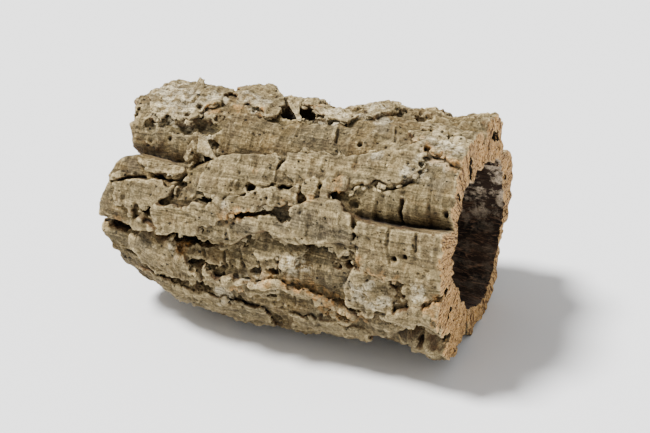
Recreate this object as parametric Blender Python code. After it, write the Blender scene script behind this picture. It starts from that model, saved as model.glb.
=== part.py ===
"""A cork bark tube, lying on its belly: bark stripped whole from one branch of a cork oak.

The tube lies along X, with its crisp saw cut at +X and its older, weathered end at -X. Places on it
are given as x, in millimetres along the tube, and as an angle in degrees round its axis, which is 0
at the top, 90 at the front (-Y), 180 underneath and 270 at the back.

The outer skin starts from the radius that the bark's crests reach. Furrows are pressed into that,
loose plates and ledges are raised on it, and seeded waves and cracked plates roughen the rest.
"""
import math

import bpy
import numpy as np

MM = 0.001

# Driving sizes, in millimetres
AXIS_HEIGHT = 82.0
CENTRE = (-0.8, 3.9)
STATION_FIRST = -119.0
STATION_GAP = 61.0
MEAN_RADIUS = 78.0
THINNEST_WALL = 11.0
SKIN_ALLOWANCE = 2.5

# Radius of the crests every 30 degrees from the top, one row for each station from left to right
CREST_RADII = (
    (68, 67, 66, 66, 67, 68, 64, 63, 63, 64, 65, 67),
    (75, 75, 75, 74, 79, 84, 85, 80, 77, 75, 74, 74),
    (74, 77, 78, 78, 83, 86, 87, 84, 84, 83, 78, 75),
    (79, 81, 79, 77, 82, 81, 84, 89, 88, 87, 83, 80),
    (81, 86, 78, 75, 82, 82, 76, 93, 89, 90, 84, 83),
)

# Radius of the hollow, laid out in the same way
HOLLOW_RADII = (
    (42, 40, 38, 40, 41, 42, 42, 43, 44, 44, 43, 42),
    (46, 46, 46, 46, 49, 54, 54, 53, 51, 49, 48, 46),
    (47, 49, 50, 50, 52, 54, 55, 56, 57, 56, 52, 48),
    (48, 54, 52, 51, 50, 52, 57, 64, 66, 64, 58, 52),
    (48, 58, 53, 51, 42, 46, 58, 75, 76, 70, 62, 53),
)

# The two ends, as (angle, x)
LEFT_EDGE = (
    (0, -120), (20, -118), (35, -114), (43, -110), (48, -116), (54, -121), (63, -125), (76, -126),
    (88, -126), (95, -129), (104, -128), (120, -122), (150, -120), (185, -122), (220, -118),
    (260, -124), (300, -119), (340, -120),
)
RIGHT_EDGE = ((0, 125), (90, 125), (180, 125.5), (260, 126), (320, 125.5))
LEFT_ROUNDING = 9.0

# Furrows: the angle, the depth, and the half-width on the side of smaller and of larger angles,
# at a few places x from left to right
FURROWS = {
    "upper": (
        (-127, 44, 19, 27, 13), (-88, 45, 20, 27, 14), (-60, 44, 18, 27, 14), (-38, 38, 12, 26, 7),
        (0, 33, 11, 28, 5), (40, 30, 10, 26, 5), (66, 25, 8, 20, 5), (90, 18, 4, 12, 6),
    ),
    "undercut": (
        (-131, 91, 15, 7, 9), (-98, 91, 15, 6, 11), (-78, 89, 16, 5, 18), (-60, 89, 15, 5, 20),
        (-45, 86, 13, 4, 22), (-21, 88, 11, 4, 16), (-8, 80, 12, 4, 20), (3, 76, 12, 4, 22),
        (20, 80, 12, 4, 20), (34, 80, 11, 4, 20), (50, 75, 9, 4, 24), (66, 74, 6, 4, 20),
    ),
    "right": ((56, 57, 0, 10, 5), (66, 59, 9, 16, 5), (95, 61, 14, 20, 5), (127, 57, 17, 20, 7)),
    "over_foot": (
        (72, 140, 2, 10, 12), (90, 131, 9, 14, 12), (102, 121, 11, 11, 8), (112, 120, 13, 11, 7),
        (127, 129, 19, 14, 8),
    ),
    "ledge": (
        (-92, 112, 0, 4, 8), (-60, 116, 6, 4, 12), (-36, 111, 8, 4, 16), (0, 106, 8, 4, 20),
        (40, 109, 8, 4, 18), (70, 117, 8, 4, 16), (88, 122, 0, 4, 10),
    ),
    "belly": (
        (-127, 172, 9, 18, 16), (-60, 176, 9, 20, 16), (0, 178, 10, 20, 16), (64, 173, 11, 20, 20),
        (127, 169, 14, 20, 15),
    ),
    "under_back": (
        (-127, 205, 12, 18, 20), (-60, 207, 11, 20, 22), (0, 203, 8, 20, 18), (64, 190, 7, 12, 16),
        (110, 187, 0, 10, 10),
    ),
    "back": (
        (-127, 254, 14, 22, 20), (-60, 250, 12, 24, 22), (0, 247, 11, 24, 22), (64, 242, 8, 20, 24),
        (127, 240, 7, 18, 20),
    ),
    "upper_back": (
        (-127, 292, 13, 20, 18), (-60, 289, 13, 22, 20), (0, 298, 12, 24, 20), (64, 294, 12, 22, 20),
        (127, 300, 15, 20, 20),
    ),
    "top_back": (
        (-127, 324, 13, 18, 16), (-60, 326, 9, 20, 18), (0, 322, 8, 20, 18), (64, 328, 5, 16, 14),
        (92, 330, 0, 10, 10),
    ),
    "top_right": ((66, 350, 0, 6, 8), (84, 352, 8, 8, 8), (106, 350, 9, 9, 8), (127, 349, 14, 13, 9)),
}

# Loose plates that lie on the bark: (height, slope, outline as x and angle). The height is in
# millimetres at the outline's middle, and the slope is the rise from its left to its right end.
PLATES = {
    "top_left": (3.5, -1.0, ((-114, -12), (-110, 8), (-101, 18), (-92, 24), (-78, 25), (-66, 26),
                             (-58, 20), (-60, 8), (-78, -4), (-92, -26), (-112, -24))),
    "top_middle": (4.5, -1.0, ((-64, -26), (-50, -8), (-40, 2), (-34, 12), (-26, 9), (-18, 16),
                               (-8, 13), (-5, 2), (-14, -12), (-30, -26))),
    "top_bridge": (4.0, 0.0, ((-18, -28), (2, -12), (12, -3), (14, 4), (22, 8), (34, 10), (38, 0),
                              (30, -16), (16, -28))),
    "top_peak": (6.0, 0.0, ((32, -30), (34, -6), (46, 2), (58, -4), (62, -20), (50, -34))),
    "second_left": (3.0, -2.0, ((-112, 57), (-108, 82), (-92, 84), (-84, 70), (-70, 68), (-64, 60),
                                (-84, 56))),
    "second_middle": (3.5, 1.0, ((-50, 42), (-52, 62), (-30, 66), (-12, 60), (8, 50), (12, 38),
                                 (-14, 38))),
    "fin": (7.0, 0.0, ((-66, 76), (-50, 70), (-28, 66), (-4, 60), (16, 56), (22, 62), (2, 68),
                       (-20, 74), (-44, 82), (-60, 84))),
    "knobs": (5.0, 1.0, ((14, 50), (18, 60), (34, 60), (46, 56), (56, 48), (44, 44), (26, 46))),
    "upper_middle": (4.0, 0.0, ((12, 33), (14, 48), (32, 46), (50, 44), (70, 44), (84, 38),
                                (80, 24), (50, 31))),
    "upper_right": (3.5, -2.0, ((84, 24), (88, 31), (104, 36), (124, 32), (124, 20), (100, 17))),
    "fan": (5.0, 0.0, ((24, 62), (28, 72), (40, 74), (52, 77), (65, 75), (64, 64), (54, 58),
                       (36, 60))),
    "middle_right": (5.0, 0.0, ((67, 62), (66, 77), (74, 83), (80, 88), (92, 90), (102, 92),
                                (124, 90), (124, 61), (96, 64))),
    "lichen": (3.5, 0.0, ((60, 87), (60, 98), (68, 105), (80, 106), (92, 102), (98, 94), (84, 88))),
    "cone": (4.0, 3.0, ((92, 108), (100, 101), (124, 95), (124, 116), (104, 114))),
    "lower_left": (4.0, 0.0, ((-98, 100), (-86, 92), (-70, 95), (-60, 94), (-52, 102), (-44, 112),
                              (-60, 113), (-84, 110))),
    "shelf": (4.5, 0.0, ((-42, 98), (-20, 96), (8, 97), (34, 101), (66, 110), (72, 116), (40, 110),
                         (8, 105), (-20, 106), (-40, 108))),
    "belly_left": (3.5, 0.0, ((-84, 120), (-60, 122), (-30, 121), (2, 124), (0, 142), (-40, 146),
                              (-80, 138))),
    "belly_right": (3.0, 0.0, ((18, 120), (50, 119), (74, 124), (70, 138), (44, 148), (16, 140))),
    "foot": (3.0, 0.0, ((100, 124), (108, 121), (124, 134), (124, 156), (104, 152))),
}

# Deep pockets with a rim: (x, angle, half-length, half-width, depth)
POCKETS = (
    (-107, 91, 12, 6, 9), (-70, 89, 9, 6, 8), (2, -3, 16, 8, 9), (30, 74, 11, 4, 8),
    (-94, 33, 7, 7, 6), (62, 111, 11, 5, 9), (9, 129, 7, 6, 8), (-46, 100, 9, 5, 8),
    (86, 352, 8, 6, 7), (106, 118, 8, 6, 6), (-16, 47, 9, 6, 4), (118, 24, 7, 5, 3),
    (-62, 190, 12, 7, 8), (34, 214, 14, 7, 8), (-20, 262, 12, 8, 9), (70, 276, 14, 7, 8),
    (-84, 306, 10, 8, 8), (12, 336, 10, 6, 7), (92, 226, 12, 8, 8),
)

# Seeded roughness: (seed, longest wave, shortest wave, stretch along the tube, height)
SKIN_WAVES = ((11, 90.0, 26.0, 2.2, 1.6), (12, 30.0, 9.0, 1.5, 0.9))
HOLLOW_WAVES = ((21, 80.0, 20.0, 2.6, 1.4), (22, 26.0, 12.0, 2.0, 0.6))
CELL_SEED = 31
CELL_LENGTH = 34.0
CELL_WIDTH = 21.0
CELL_HEIGHT = 3.4
CELL_CRACK = 3.0
CELL_CRACK_DEPTH = 2.0
PLATE_RIM = 1.6

# Where the bark is smooth, with only fine growth lines: outlines as x and angle
CALM = (
    ((-52, 16), (-48, 34), (0, 31), (60, 26), (62, 10), (44, 8), (16, 16), (-30, 14)),
    ((62, 40), (62, 62), (100, 62), (124, 60), (124, 40), (90, 36)),
    ((66, 64), (68, 88), (124, 90), (124, 64)),
    ((-54, 86), (-40, 98), (0, 97), (32, 100), (62, 96), (64, 78), (30, 82), (0, 80), (-30, 90)),
    ((26, 62), (28, 74), (64, 76), (62, 60), (40, 60)),
    ((-90, 30), (-90, 44), (-66, 44), (-62, 32)),
)
CALM_RIM = 8.0
CALM_SHARE = 0.75
FRONT_SHARE = 0.35

# Mesh
ROWS_OUTSIDE = 150
ROWS_INSIDE = 60
ROWS_PER_END = 5
POINTS_ROUND = 216
TRIANGLES = 10400

WAVE_SPAN = 320.0
TURN = 2 * math.pi * MEAN_RADIUS


def smooth(t):
    """Ease from 0 to 1 as t goes from 0 to 1."""
    t = np.clip(t, 0.0, 1.0)
    return t * t * (3 - 2 * t)


def cubic(a, b, c, d, t):
    """Catmull-Rom value between b and c."""
    return b + 0.5 * t * (c - a + t * (2 * a - 5 * b + 4 * c - d + t * (3 * (b - c) + d - a)))


def radii(table, x, angle):
    """Smooth surface through a table of radii, at arrays of x and angle."""
    table = np.array(table, float)
    rows, columns = table.shape
    along = np.clip((x - STATION_FIRST) / STATION_GAP, 0, rows - 1 - 1e-6)
    round_ = np.mod(angle, 360.0) * columns / 360.0
    i = along.astype(int)
    j = round_.astype(int)

    def row(step):
        k = np.clip(i + step, 0, rows - 1)
        points = [table[k, (j + n) % columns] for n in (-1, 0, 1, 2)]
        return cubic(*points, round_ - j)

    return cubic(row(-1), row(0), row(1), row(2), along - i)


def edge(points, angle):
    """Where an end of the tube lies, at an array of angles."""
    return np.interp(angle, [p[0] for p in points], [p[1] for p in points], period=360.0)


def gap(angle, centre):
    """Distance round the tube from centre to angle, in millimetres."""
    return np.radians(np.mod(angle - centre + 180.0, 360.0) - 180.0) * MEAN_RADIUS


def furrow_depth(path, x, angle):
    """Depth of one furrow: a sharp bottom between rounded shoulders."""
    places = np.array(path, float)
    at = [np.interp(x, places[:, 0], places[:, k]) for k in range(1, 5)]
    inside = (x >= places[0, 0] - 1) & (x <= places[-1, 0] + 1)
    away = gap(angle, at[0])
    width = np.where(away < 0, at[2], at[3])
    near = np.clip(1 - np.abs(away) / width, 0.0, 1.0)
    return np.where(inside, at[1] * near ** 1.7, 0.0)


def outline_distance(outline, x, angle):
    """Millimetres inside a closed outline, and less than nothing outside it."""
    points = np.array(outline, float)
    middle = points[:, 1].mean()
    px = points[:, 0]
    py = np.radians(points[:, 1]) * MEAN_RADIUS
    y = gap(angle, middle) + math.radians(middle) * MEAN_RADIUS
    nearest = np.full(np.broadcast(x, y).shape, 1e9)
    inside = np.zeros(nearest.shape, bool)
    for k in range(len(px)):
        ax, ay, bx, by = px[k - 1], py[k - 1], px[k], py[k]
        along = ((x - ax) * (bx - ax) + (y - ay) * (by - ay)) / ((bx - ax) ** 2 + (by - ay) ** 2)
        along = np.clip(along, 0, 1)
        off = np.hypot(x - ax - along * (bx - ax), y - ay - along * (by - ay))
        nearest = np.minimum(nearest, off)
        if ay != by:
            crosses = ((ay > y) != (by > y)) & (x < (bx - ax) * (y - ay) / (by - ay) + ax)
            inside ^= crosses
    return np.where(inside, nearest, -nearest)


def waves(seed, longest, shortest, stretch, x, angle):
    """Smooth random relief of unit strength, which meets itself round the tube."""
    draw = np.random.default_rng(seed)
    steps_along = np.arange(-int(WAVE_SPAN / shortest), int(WAVE_SPAN / shortest) + 1)
    steps_round = np.arange(0, int(TURN / shortest) + 1)
    along = steps_along[:, None] / WAVE_SPAN
    round_ = steps_round[None, :] / TURN
    pitch = np.hypot(along * stretch, round_)
    kept = (pitch >= 1 / longest) & (pitch <= 1 / shortest)
    strength = np.where(kept, np.maximum(pitch, 1e-6) ** -1.6, 0.0)
    size = strength.shape
    strength = strength * (draw.normal(size=size) + 1j * draw.normal(size=size))
    power = 0.5 * np.sum(np.abs(strength) ** 2)
    ex = np.exp(2j * math.pi * np.outer(x, steps_along / WAVE_SPAN))
    et = np.exp(1j * np.outer(steps_round, np.radians(angle)))
    return (ex @ strength @ et).real / math.sqrt(power)


def cells(seed, length, width, x, y):
    """Cracked plates: a random number for each plate, and the distance to the plate's edge."""
    draw = np.random.default_rng(seed)
    count = int(round(TURN / width))
    width = TURN / count
    rows = int(WAVE_SPAN / length) + 4
    spots = draw.uniform(0.15, 0.85, size=(rows, count, 2))
    number = draw.uniform(-1, 1, size=(rows, count))
    row = np.floor((x + WAVE_SPAN / 2) / length).astype(int) + 1
    column = np.floor(y / width).astype(int)
    first = np.full(x.shape, 1e9)
    second = np.full(x.shape, 1e9)
    value = np.zeros(x.shape)
    for di in (-1, 0, 1):
        for dj in (-1, 0, 1):
            i = np.clip(row + di, 0, rows - 1)
            j = column + dj
            spot = spots[i, j % count]
            away_x = (i - 1 + spot[..., 0]) * length - WAVE_SPAN / 2 - x
            away_y = (j + spot[..., 1]) * width - y
            away = np.hypot(away_x * width / length, away_y)
            closer = away < first
            second = np.where(closer, first, np.minimum(second, away))
            value = np.where(closer, number[i, j % count], value)
            first = np.where(closer, away, first)
    return value, second - first


def skin_radius(x, angle):
    """Outer radius on a grid: x down the rows, angle along the columns."""
    grid_x = x[:, None] + 0 * angle[None, :]
    grid_angle = angle[None, :] + 0 * x[:, None]
    core = radii(CREST_RADII, grid_x, grid_angle)
    for path in FURROWS.values():
        core -= furrow_depth(path, grid_x, grid_angle)
    bend = 5.0 * waves(CELL_SEED + 1, 60.0, 14.0, 1.0, x, angle)
    y = np.radians(grid_angle) * MEAN_RADIUS
    number, rim = cells(CELL_SEED, CELL_LENGTH, CELL_WIDTH, grid_x + bend, y + 0.6 * bend)
    rough = 1 - FRONT_SHARE * smooth(gap(grid_angle, -20) / 20) * smooth(gap(125, grid_angle) / 20)
    for outline in CALM:
        calm = outline_distance(outline, grid_x, grid_angle)
        rough = rough * (1 - CALM_SHARE * smooth(calm / CALM_RIM + 0.5))
    cracks = CELL_CRACK_DEPTH * smooth(1 - rim / CELL_CRACK)
    radius = core - SKIN_ALLOWANCE + rough * (0.5 * CELL_HEIGHT * number - cracks)
    for seed, longest, shortest, stretch, height in SKIN_WAVES:
        radius += rough * height * waves(seed, longest, shortest, stretch, x, angle)
    for height, slope, outline in PLATES.values():
        inside = outline_distance(outline, grid_x, grid_angle) + 0.25 * bend
        left = min(p[0] for p in outline)
        right = max(p[0] for p in outline)
        rise = height + slope * ((grid_x - left) / (right - left) - 0.5)
        radius += rise * smooth(inside / PLATE_RIM)
    for place, turn, half_length, half_width, depth in POCKETS:
        away = np.hypot((grid_x - place) / half_length, gap(grid_angle, turn) / half_width)
        radius -= depth * smooth(1.5 * (1 - away))
    return radius, core


def hollow_radius(x, angle, core):
    """Inner radius on a grid, kept clear of the furrows outside."""
    grid_x = x[:, None] + 0 * angle[None, :]
    grid_angle = angle[None, :] + 0 * x[:, None]
    radius = radii(HOLLOW_RADII, grid_x, grid_angle)
    for seed, longest, shortest, stretch, height in HOLLOW_WAVES:
        radius += height * waves(seed, longest, shortest, stretch, x, angle)
    return np.minimum(radius, core - THINNEST_WALL)


def tube_points():
    """Rings of points: along the outside, across the saw cut, back inside, across the old end."""
    angle = np.arange(POINTS_ROUND) * 360.0 / POINTS_ROUND
    left = edge(LEFT_EDGE, angle) + 1.5 * waves(41, 40.0, 9.0, 1.0, np.zeros(1), angle)[0]
    right = edge(RIGHT_EDGE, angle) + 0.5 * waves(42, 30.0, 9.0, 1.0, np.zeros(1), angle)[0]
    even = np.linspace(0, 1, ROWS_OUTSIDE)
    x = left + even[:, None] * (right - left)
    grid = np.linspace(left.min() - 1, right.max() + 1, 2 * ROWS_OUTSIDE)
    skin, core = skin_radius(grid, angle)
    hollow = hollow_radius(grid, angle, core)
    column = np.arange(POINTS_ROUND)[None, :]

    def read(table, at):
        step = np.clip((at - grid[0]) / (grid[1] - grid[0]), 0, len(grid) - 1.001)
        low = step.astype(int)
        return table[low, column] * (1 - step + low) + table[low + 1, column] * (step - low)

    outer = read(skin, x)
    worn = np.clip(1 - (x - left) / LEFT_ROUNDING, 0, 1)
    outer -= LEFT_ROUNDING * 0.6 * (1 - np.sqrt(1 - worn ** 2))
    inner_x = x[::-1][:: ROWS_OUTSIDE // ROWS_INSIDE]
    inner_worn = np.clip(1 - (inner_x - left) / (2 * LEFT_ROUNDING), 0, 1)
    inner = np.minimum(read(hollow, inner_x), read(core, inner_x) - THINNEST_WALL - 5 * inner_worn)
    steps = np.linspace(0, 1, ROWS_PER_END + 2)[1:-1, None]
    cut_x = right + (inner_x[0] - right) * steps
    cut = outer[-1] + (inner[0] - outer[-1]) * steps
    old_x = inner_x[-1] + (left - inner_x[-1]) * steps
    old = inner[-1] + (outer[0] - inner[-1]) * steps
    old_x = old_x - 2.0 * np.sin(math.pi * steps)
    ring_x = np.vstack([x, cut_x, inner_x, old_x])
    ring_r = np.vstack([outer, cut, inner, old])
    turn = np.radians(angle)[None, :]
    points = np.stack([
        ring_x - CENTRE[0],
        -ring_r * np.sin(turn) - CENTRE[1],
        AXIS_HEIGHT + ring_r * np.cos(turn),
    ], axis=-1)
    return points * MM


def ring_faces(rings, count):
    """Four-sided faces between each ring and the next, the last ring joined to the first."""
    i, j = np.meshgrid(np.arange(rings), np.arange(count), indexing="ij")
    after = (i + 1) % rings
    beside = (j + 1) % count
    corners = (i * count + j, i * count + beside, after * count + beside, after * count + j)
    return np.stack(corners, axis=-1).reshape(-1, 4)


def bark_material():
    material = bpy.data.materials.new("cork_bark")
    material.use_nodes = True
    shader = material.node_tree.nodes["Principled BSDF"]
    shader.inputs["Base Color"].default_value = (0.32, 0.26, 0.18, 1.0)
    shader.inputs["Roughness"].default_value = 0.92
    shader.inputs["Metallic"].default_value = 0.0
    return material


def thinned(tube):
    """The tube's mesh with fewer triangles, most of them kept where the bark is rough."""
    thin = tube.modifiers.new("thin", "DECIMATE")
    thin.ratio = TRIANGLES / (2 * len(tube.data.polygons))
    bpy.context.view_layer.update()
    shown = tube.evaluated_get(bpy.context.evaluated_depsgraph_get())
    mesh = bpy.data.meshes.new_from_object(shown)
    tube.modifiers.remove(thin)
    return mesh


def main():
    for old in list(bpy.data.objects):
        bpy.data.objects.remove(old, do_unlink=True)
    points = tube_points()
    faces = ring_faces(points.shape[0], points.shape[1])
    mesh = bpy.data.meshes.new("cork_bark_tube")
    mesh.from_pydata(points.reshape(-1, 3).tolist(), [], faces.tolist())
    tube = bpy.data.objects.new("cork_bark_tube", mesh)
    bpy.context.scene.collection.objects.link(tube)
    tube.data = thinned(tube)
    bpy.data.meshes.remove(mesh)
    tube.data.name = "cork_bark_tube"
    for vertex in tube.data.vertices:
        vertex.co.z = max(vertex.co.z, 0.0)
    tube.data.materials.append(bark_material())
    tube.data.shade_smooth()
    tube.data.set_sharp_from_angle(angle=math.radians(40))


main()
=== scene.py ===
"""Looks of the cork bark tube: its fine shape, and the finish of bark, sawn cork and hollow.

Places on the tube are given as x, in millimetres along it, and as an angle in degrees round its
axis: 0 at the top, 90 at the front, 180 underneath and 270 at the back. Shapes are first drawn as
maps over x and angle, then turned into a solid on a fine grid of cells, so that plates can hang
over the bark below them and pockets can run in under an edge.
"""
import math

import bpy
import numpy as np
import openvdb
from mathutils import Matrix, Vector


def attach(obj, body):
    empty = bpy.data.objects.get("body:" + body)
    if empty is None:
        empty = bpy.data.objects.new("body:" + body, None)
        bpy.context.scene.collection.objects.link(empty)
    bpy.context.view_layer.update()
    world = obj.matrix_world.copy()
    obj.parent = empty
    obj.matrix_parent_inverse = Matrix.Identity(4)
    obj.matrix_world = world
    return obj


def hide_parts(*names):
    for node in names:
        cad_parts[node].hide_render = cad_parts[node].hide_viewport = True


MM = 0.001

# Driving sizes, in millimetres
AXIS_HEIGHT = 82.0
CENTRE = (-0.8, 3.9)
SHIFT = np.array([*CENTRE, 0.0])
STATION_FIRST = -119.0
STATION_GAP = 61.0
MEAN_RADIUS = 78.0
THINNEST_WALL = 11.0
SKIN_ALLOWANCE = 2.5

# Radius of the crests every 30 degrees from the top, one row for each station from left to right
CREST_RADII = (
    (66, 67, 67, 66, 67, 68, 64, 63, 63, 64, 64, 65),
    (75, 75, 75, 74, 79, 84, 85, 80, 77, 75, 74, 74),
    (74, 77, 78, 78, 83, 86, 87, 84, 84, 83, 78, 75),
    (79, 81, 79, 77, 82, 81, 84, 89, 88, 87, 83, 80),
    (81, 86, 78, 75, 82, 82, 76, 93, 89, 90, 84, 83),
)

# Radius of the hollow, laid out in the same way
HOLLOW_RADII = (
    (42, 40, 38, 40, 41, 42, 42, 43, 44, 44, 43, 42),
    (46, 46, 46, 46, 49, 54, 54, 53, 51, 49, 48, 46),
    (47, 49, 50, 50, 52, 54, 55, 56, 57, 56, 52, 48),
    (48, 54, 52, 51, 50, 52, 57, 64, 66, 64, 58, 52),
    (48, 58, 53, 51, 42, 46, 58, 75, 76, 70, 62, 53),
)

# The two ends, as (angle, x)
LEFT_EDGE = (
    (0, -125), (20, -120), (35, -113), (43, -107), (48, -112), (54, -118), (63, -123), (72, -125),
    (80, -126), (88, -126), (95, -129), (104, -128), (120, -122), (150, -120), (185, -122),
    (220, -118), (260, -124), (300, -121), (340, -124),
)
RIGHT_EDGE = ((0, 125), (90, 125), (180, 125.5), (260, 126), (320, 125.5))
LEFT_ROUNDING = 5.0
LEFT_WORN = 0.6

# Furrows: the angle, the depth, and the half-width on the side of smaller and of larger angles,
# at a few places x from left to right
FURROWS = {
    "upper": (
        (-127, 40, 19, 25, 13), (-98, 41, 20, 26, 13), (-80, 44, 20, 27, 14), (-60, 44, 18, 27, 14),
        (-38, 38, 12, 26, 7), (0, 33, 11, 28, 5), (40, 30, 10, 26, 5), (66, 25, 8, 20, 5),
        (90, 18, 4, 12, 6),
    ),
    "undercut": (
        (-131, 96, 15, 7, 9), (-98, 95, 15, 6, 11), (-80, 91, 16, 5, 16), (-60, 89, 15, 5, 20),
        (-45, 86, 13, 4, 22), (-21, 88, 11, 4, 16), (-8, 80, 12, 4, 20), (3, 76, 12, 4, 22),
        (20, 80, 12, 4, 20), (34, 80, 11, 4, 20), (50, 75, 9, 4, 24), (66, 74, 6, 4, 20),
    ),
    "right": (
        (56, 57, 0, 10, 4), (66, 60, 9, 16, 3), (95, 60, 14, 20, 3), (127, 57, 17, 20, 4),
    ),
    "over_foot": (
        (72, 140, 2, 10, 12), (90, 131, 9, 14, 12), (102, 121, 11, 11, 8), (112, 120, 13, 11, 7),
        (127, 129, 19, 14, 8),
    ),
    "ledge": (
        (-92, 112, 0, 4, 8), (-60, 116, 6, 4, 12), (-36, 111, 8, 4, 16), (0, 106, 8, 4, 20),
        (40, 109, 8, 4, 18), (70, 117, 8, 4, 16), (88, 122, 0, 4, 10),
    ),
    "belly": (
        (-127, 172, 9, 18, 16), (-60, 176, 9, 20, 16), (0, 178, 10, 20, 16), (64, 173, 11, 20, 20),
        (127, 169, 14, 20, 15),
    ),
    "under_back": (
        (-127, 205, 12, 18, 20), (-60, 207, 11, 20, 22), (0, 203, 8, 20, 18), (64, 190, 7, 12, 16),
        (110, 187, 0, 10, 10),
    ),
    "back": (
        (-127, 254, 14, 22, 20), (-60, 250, 12, 24, 22), (0, 247, 11, 24, 22), (64, 242, 8, 20, 24),
        (127, 240, 7, 18, 20),
    ),
    "upper_back": (
        (-127, 292, 13, 20, 18), (-60, 289, 13, 22, 20), (0, 298, 12, 24, 20), (64, 294, 12, 22, 20),
        (127, 300, 15, 20, 20),
    ),
    "top_back": (
        (-127, 324, 13, 18, 16), (-60, 326, 9, 20, 18), (0, 322, 8, 20, 18), (64, 328, 5, 16, 14),
        (92, 330, 0, 10, 10),
    ),
    "top_right": (
        (66, 350, 0, 6, 8), (84, 352, 8, 8, 8), (106, 350, 9, 9, 8), (127, 349, 14, 13, 9),
    ),
}

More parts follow.
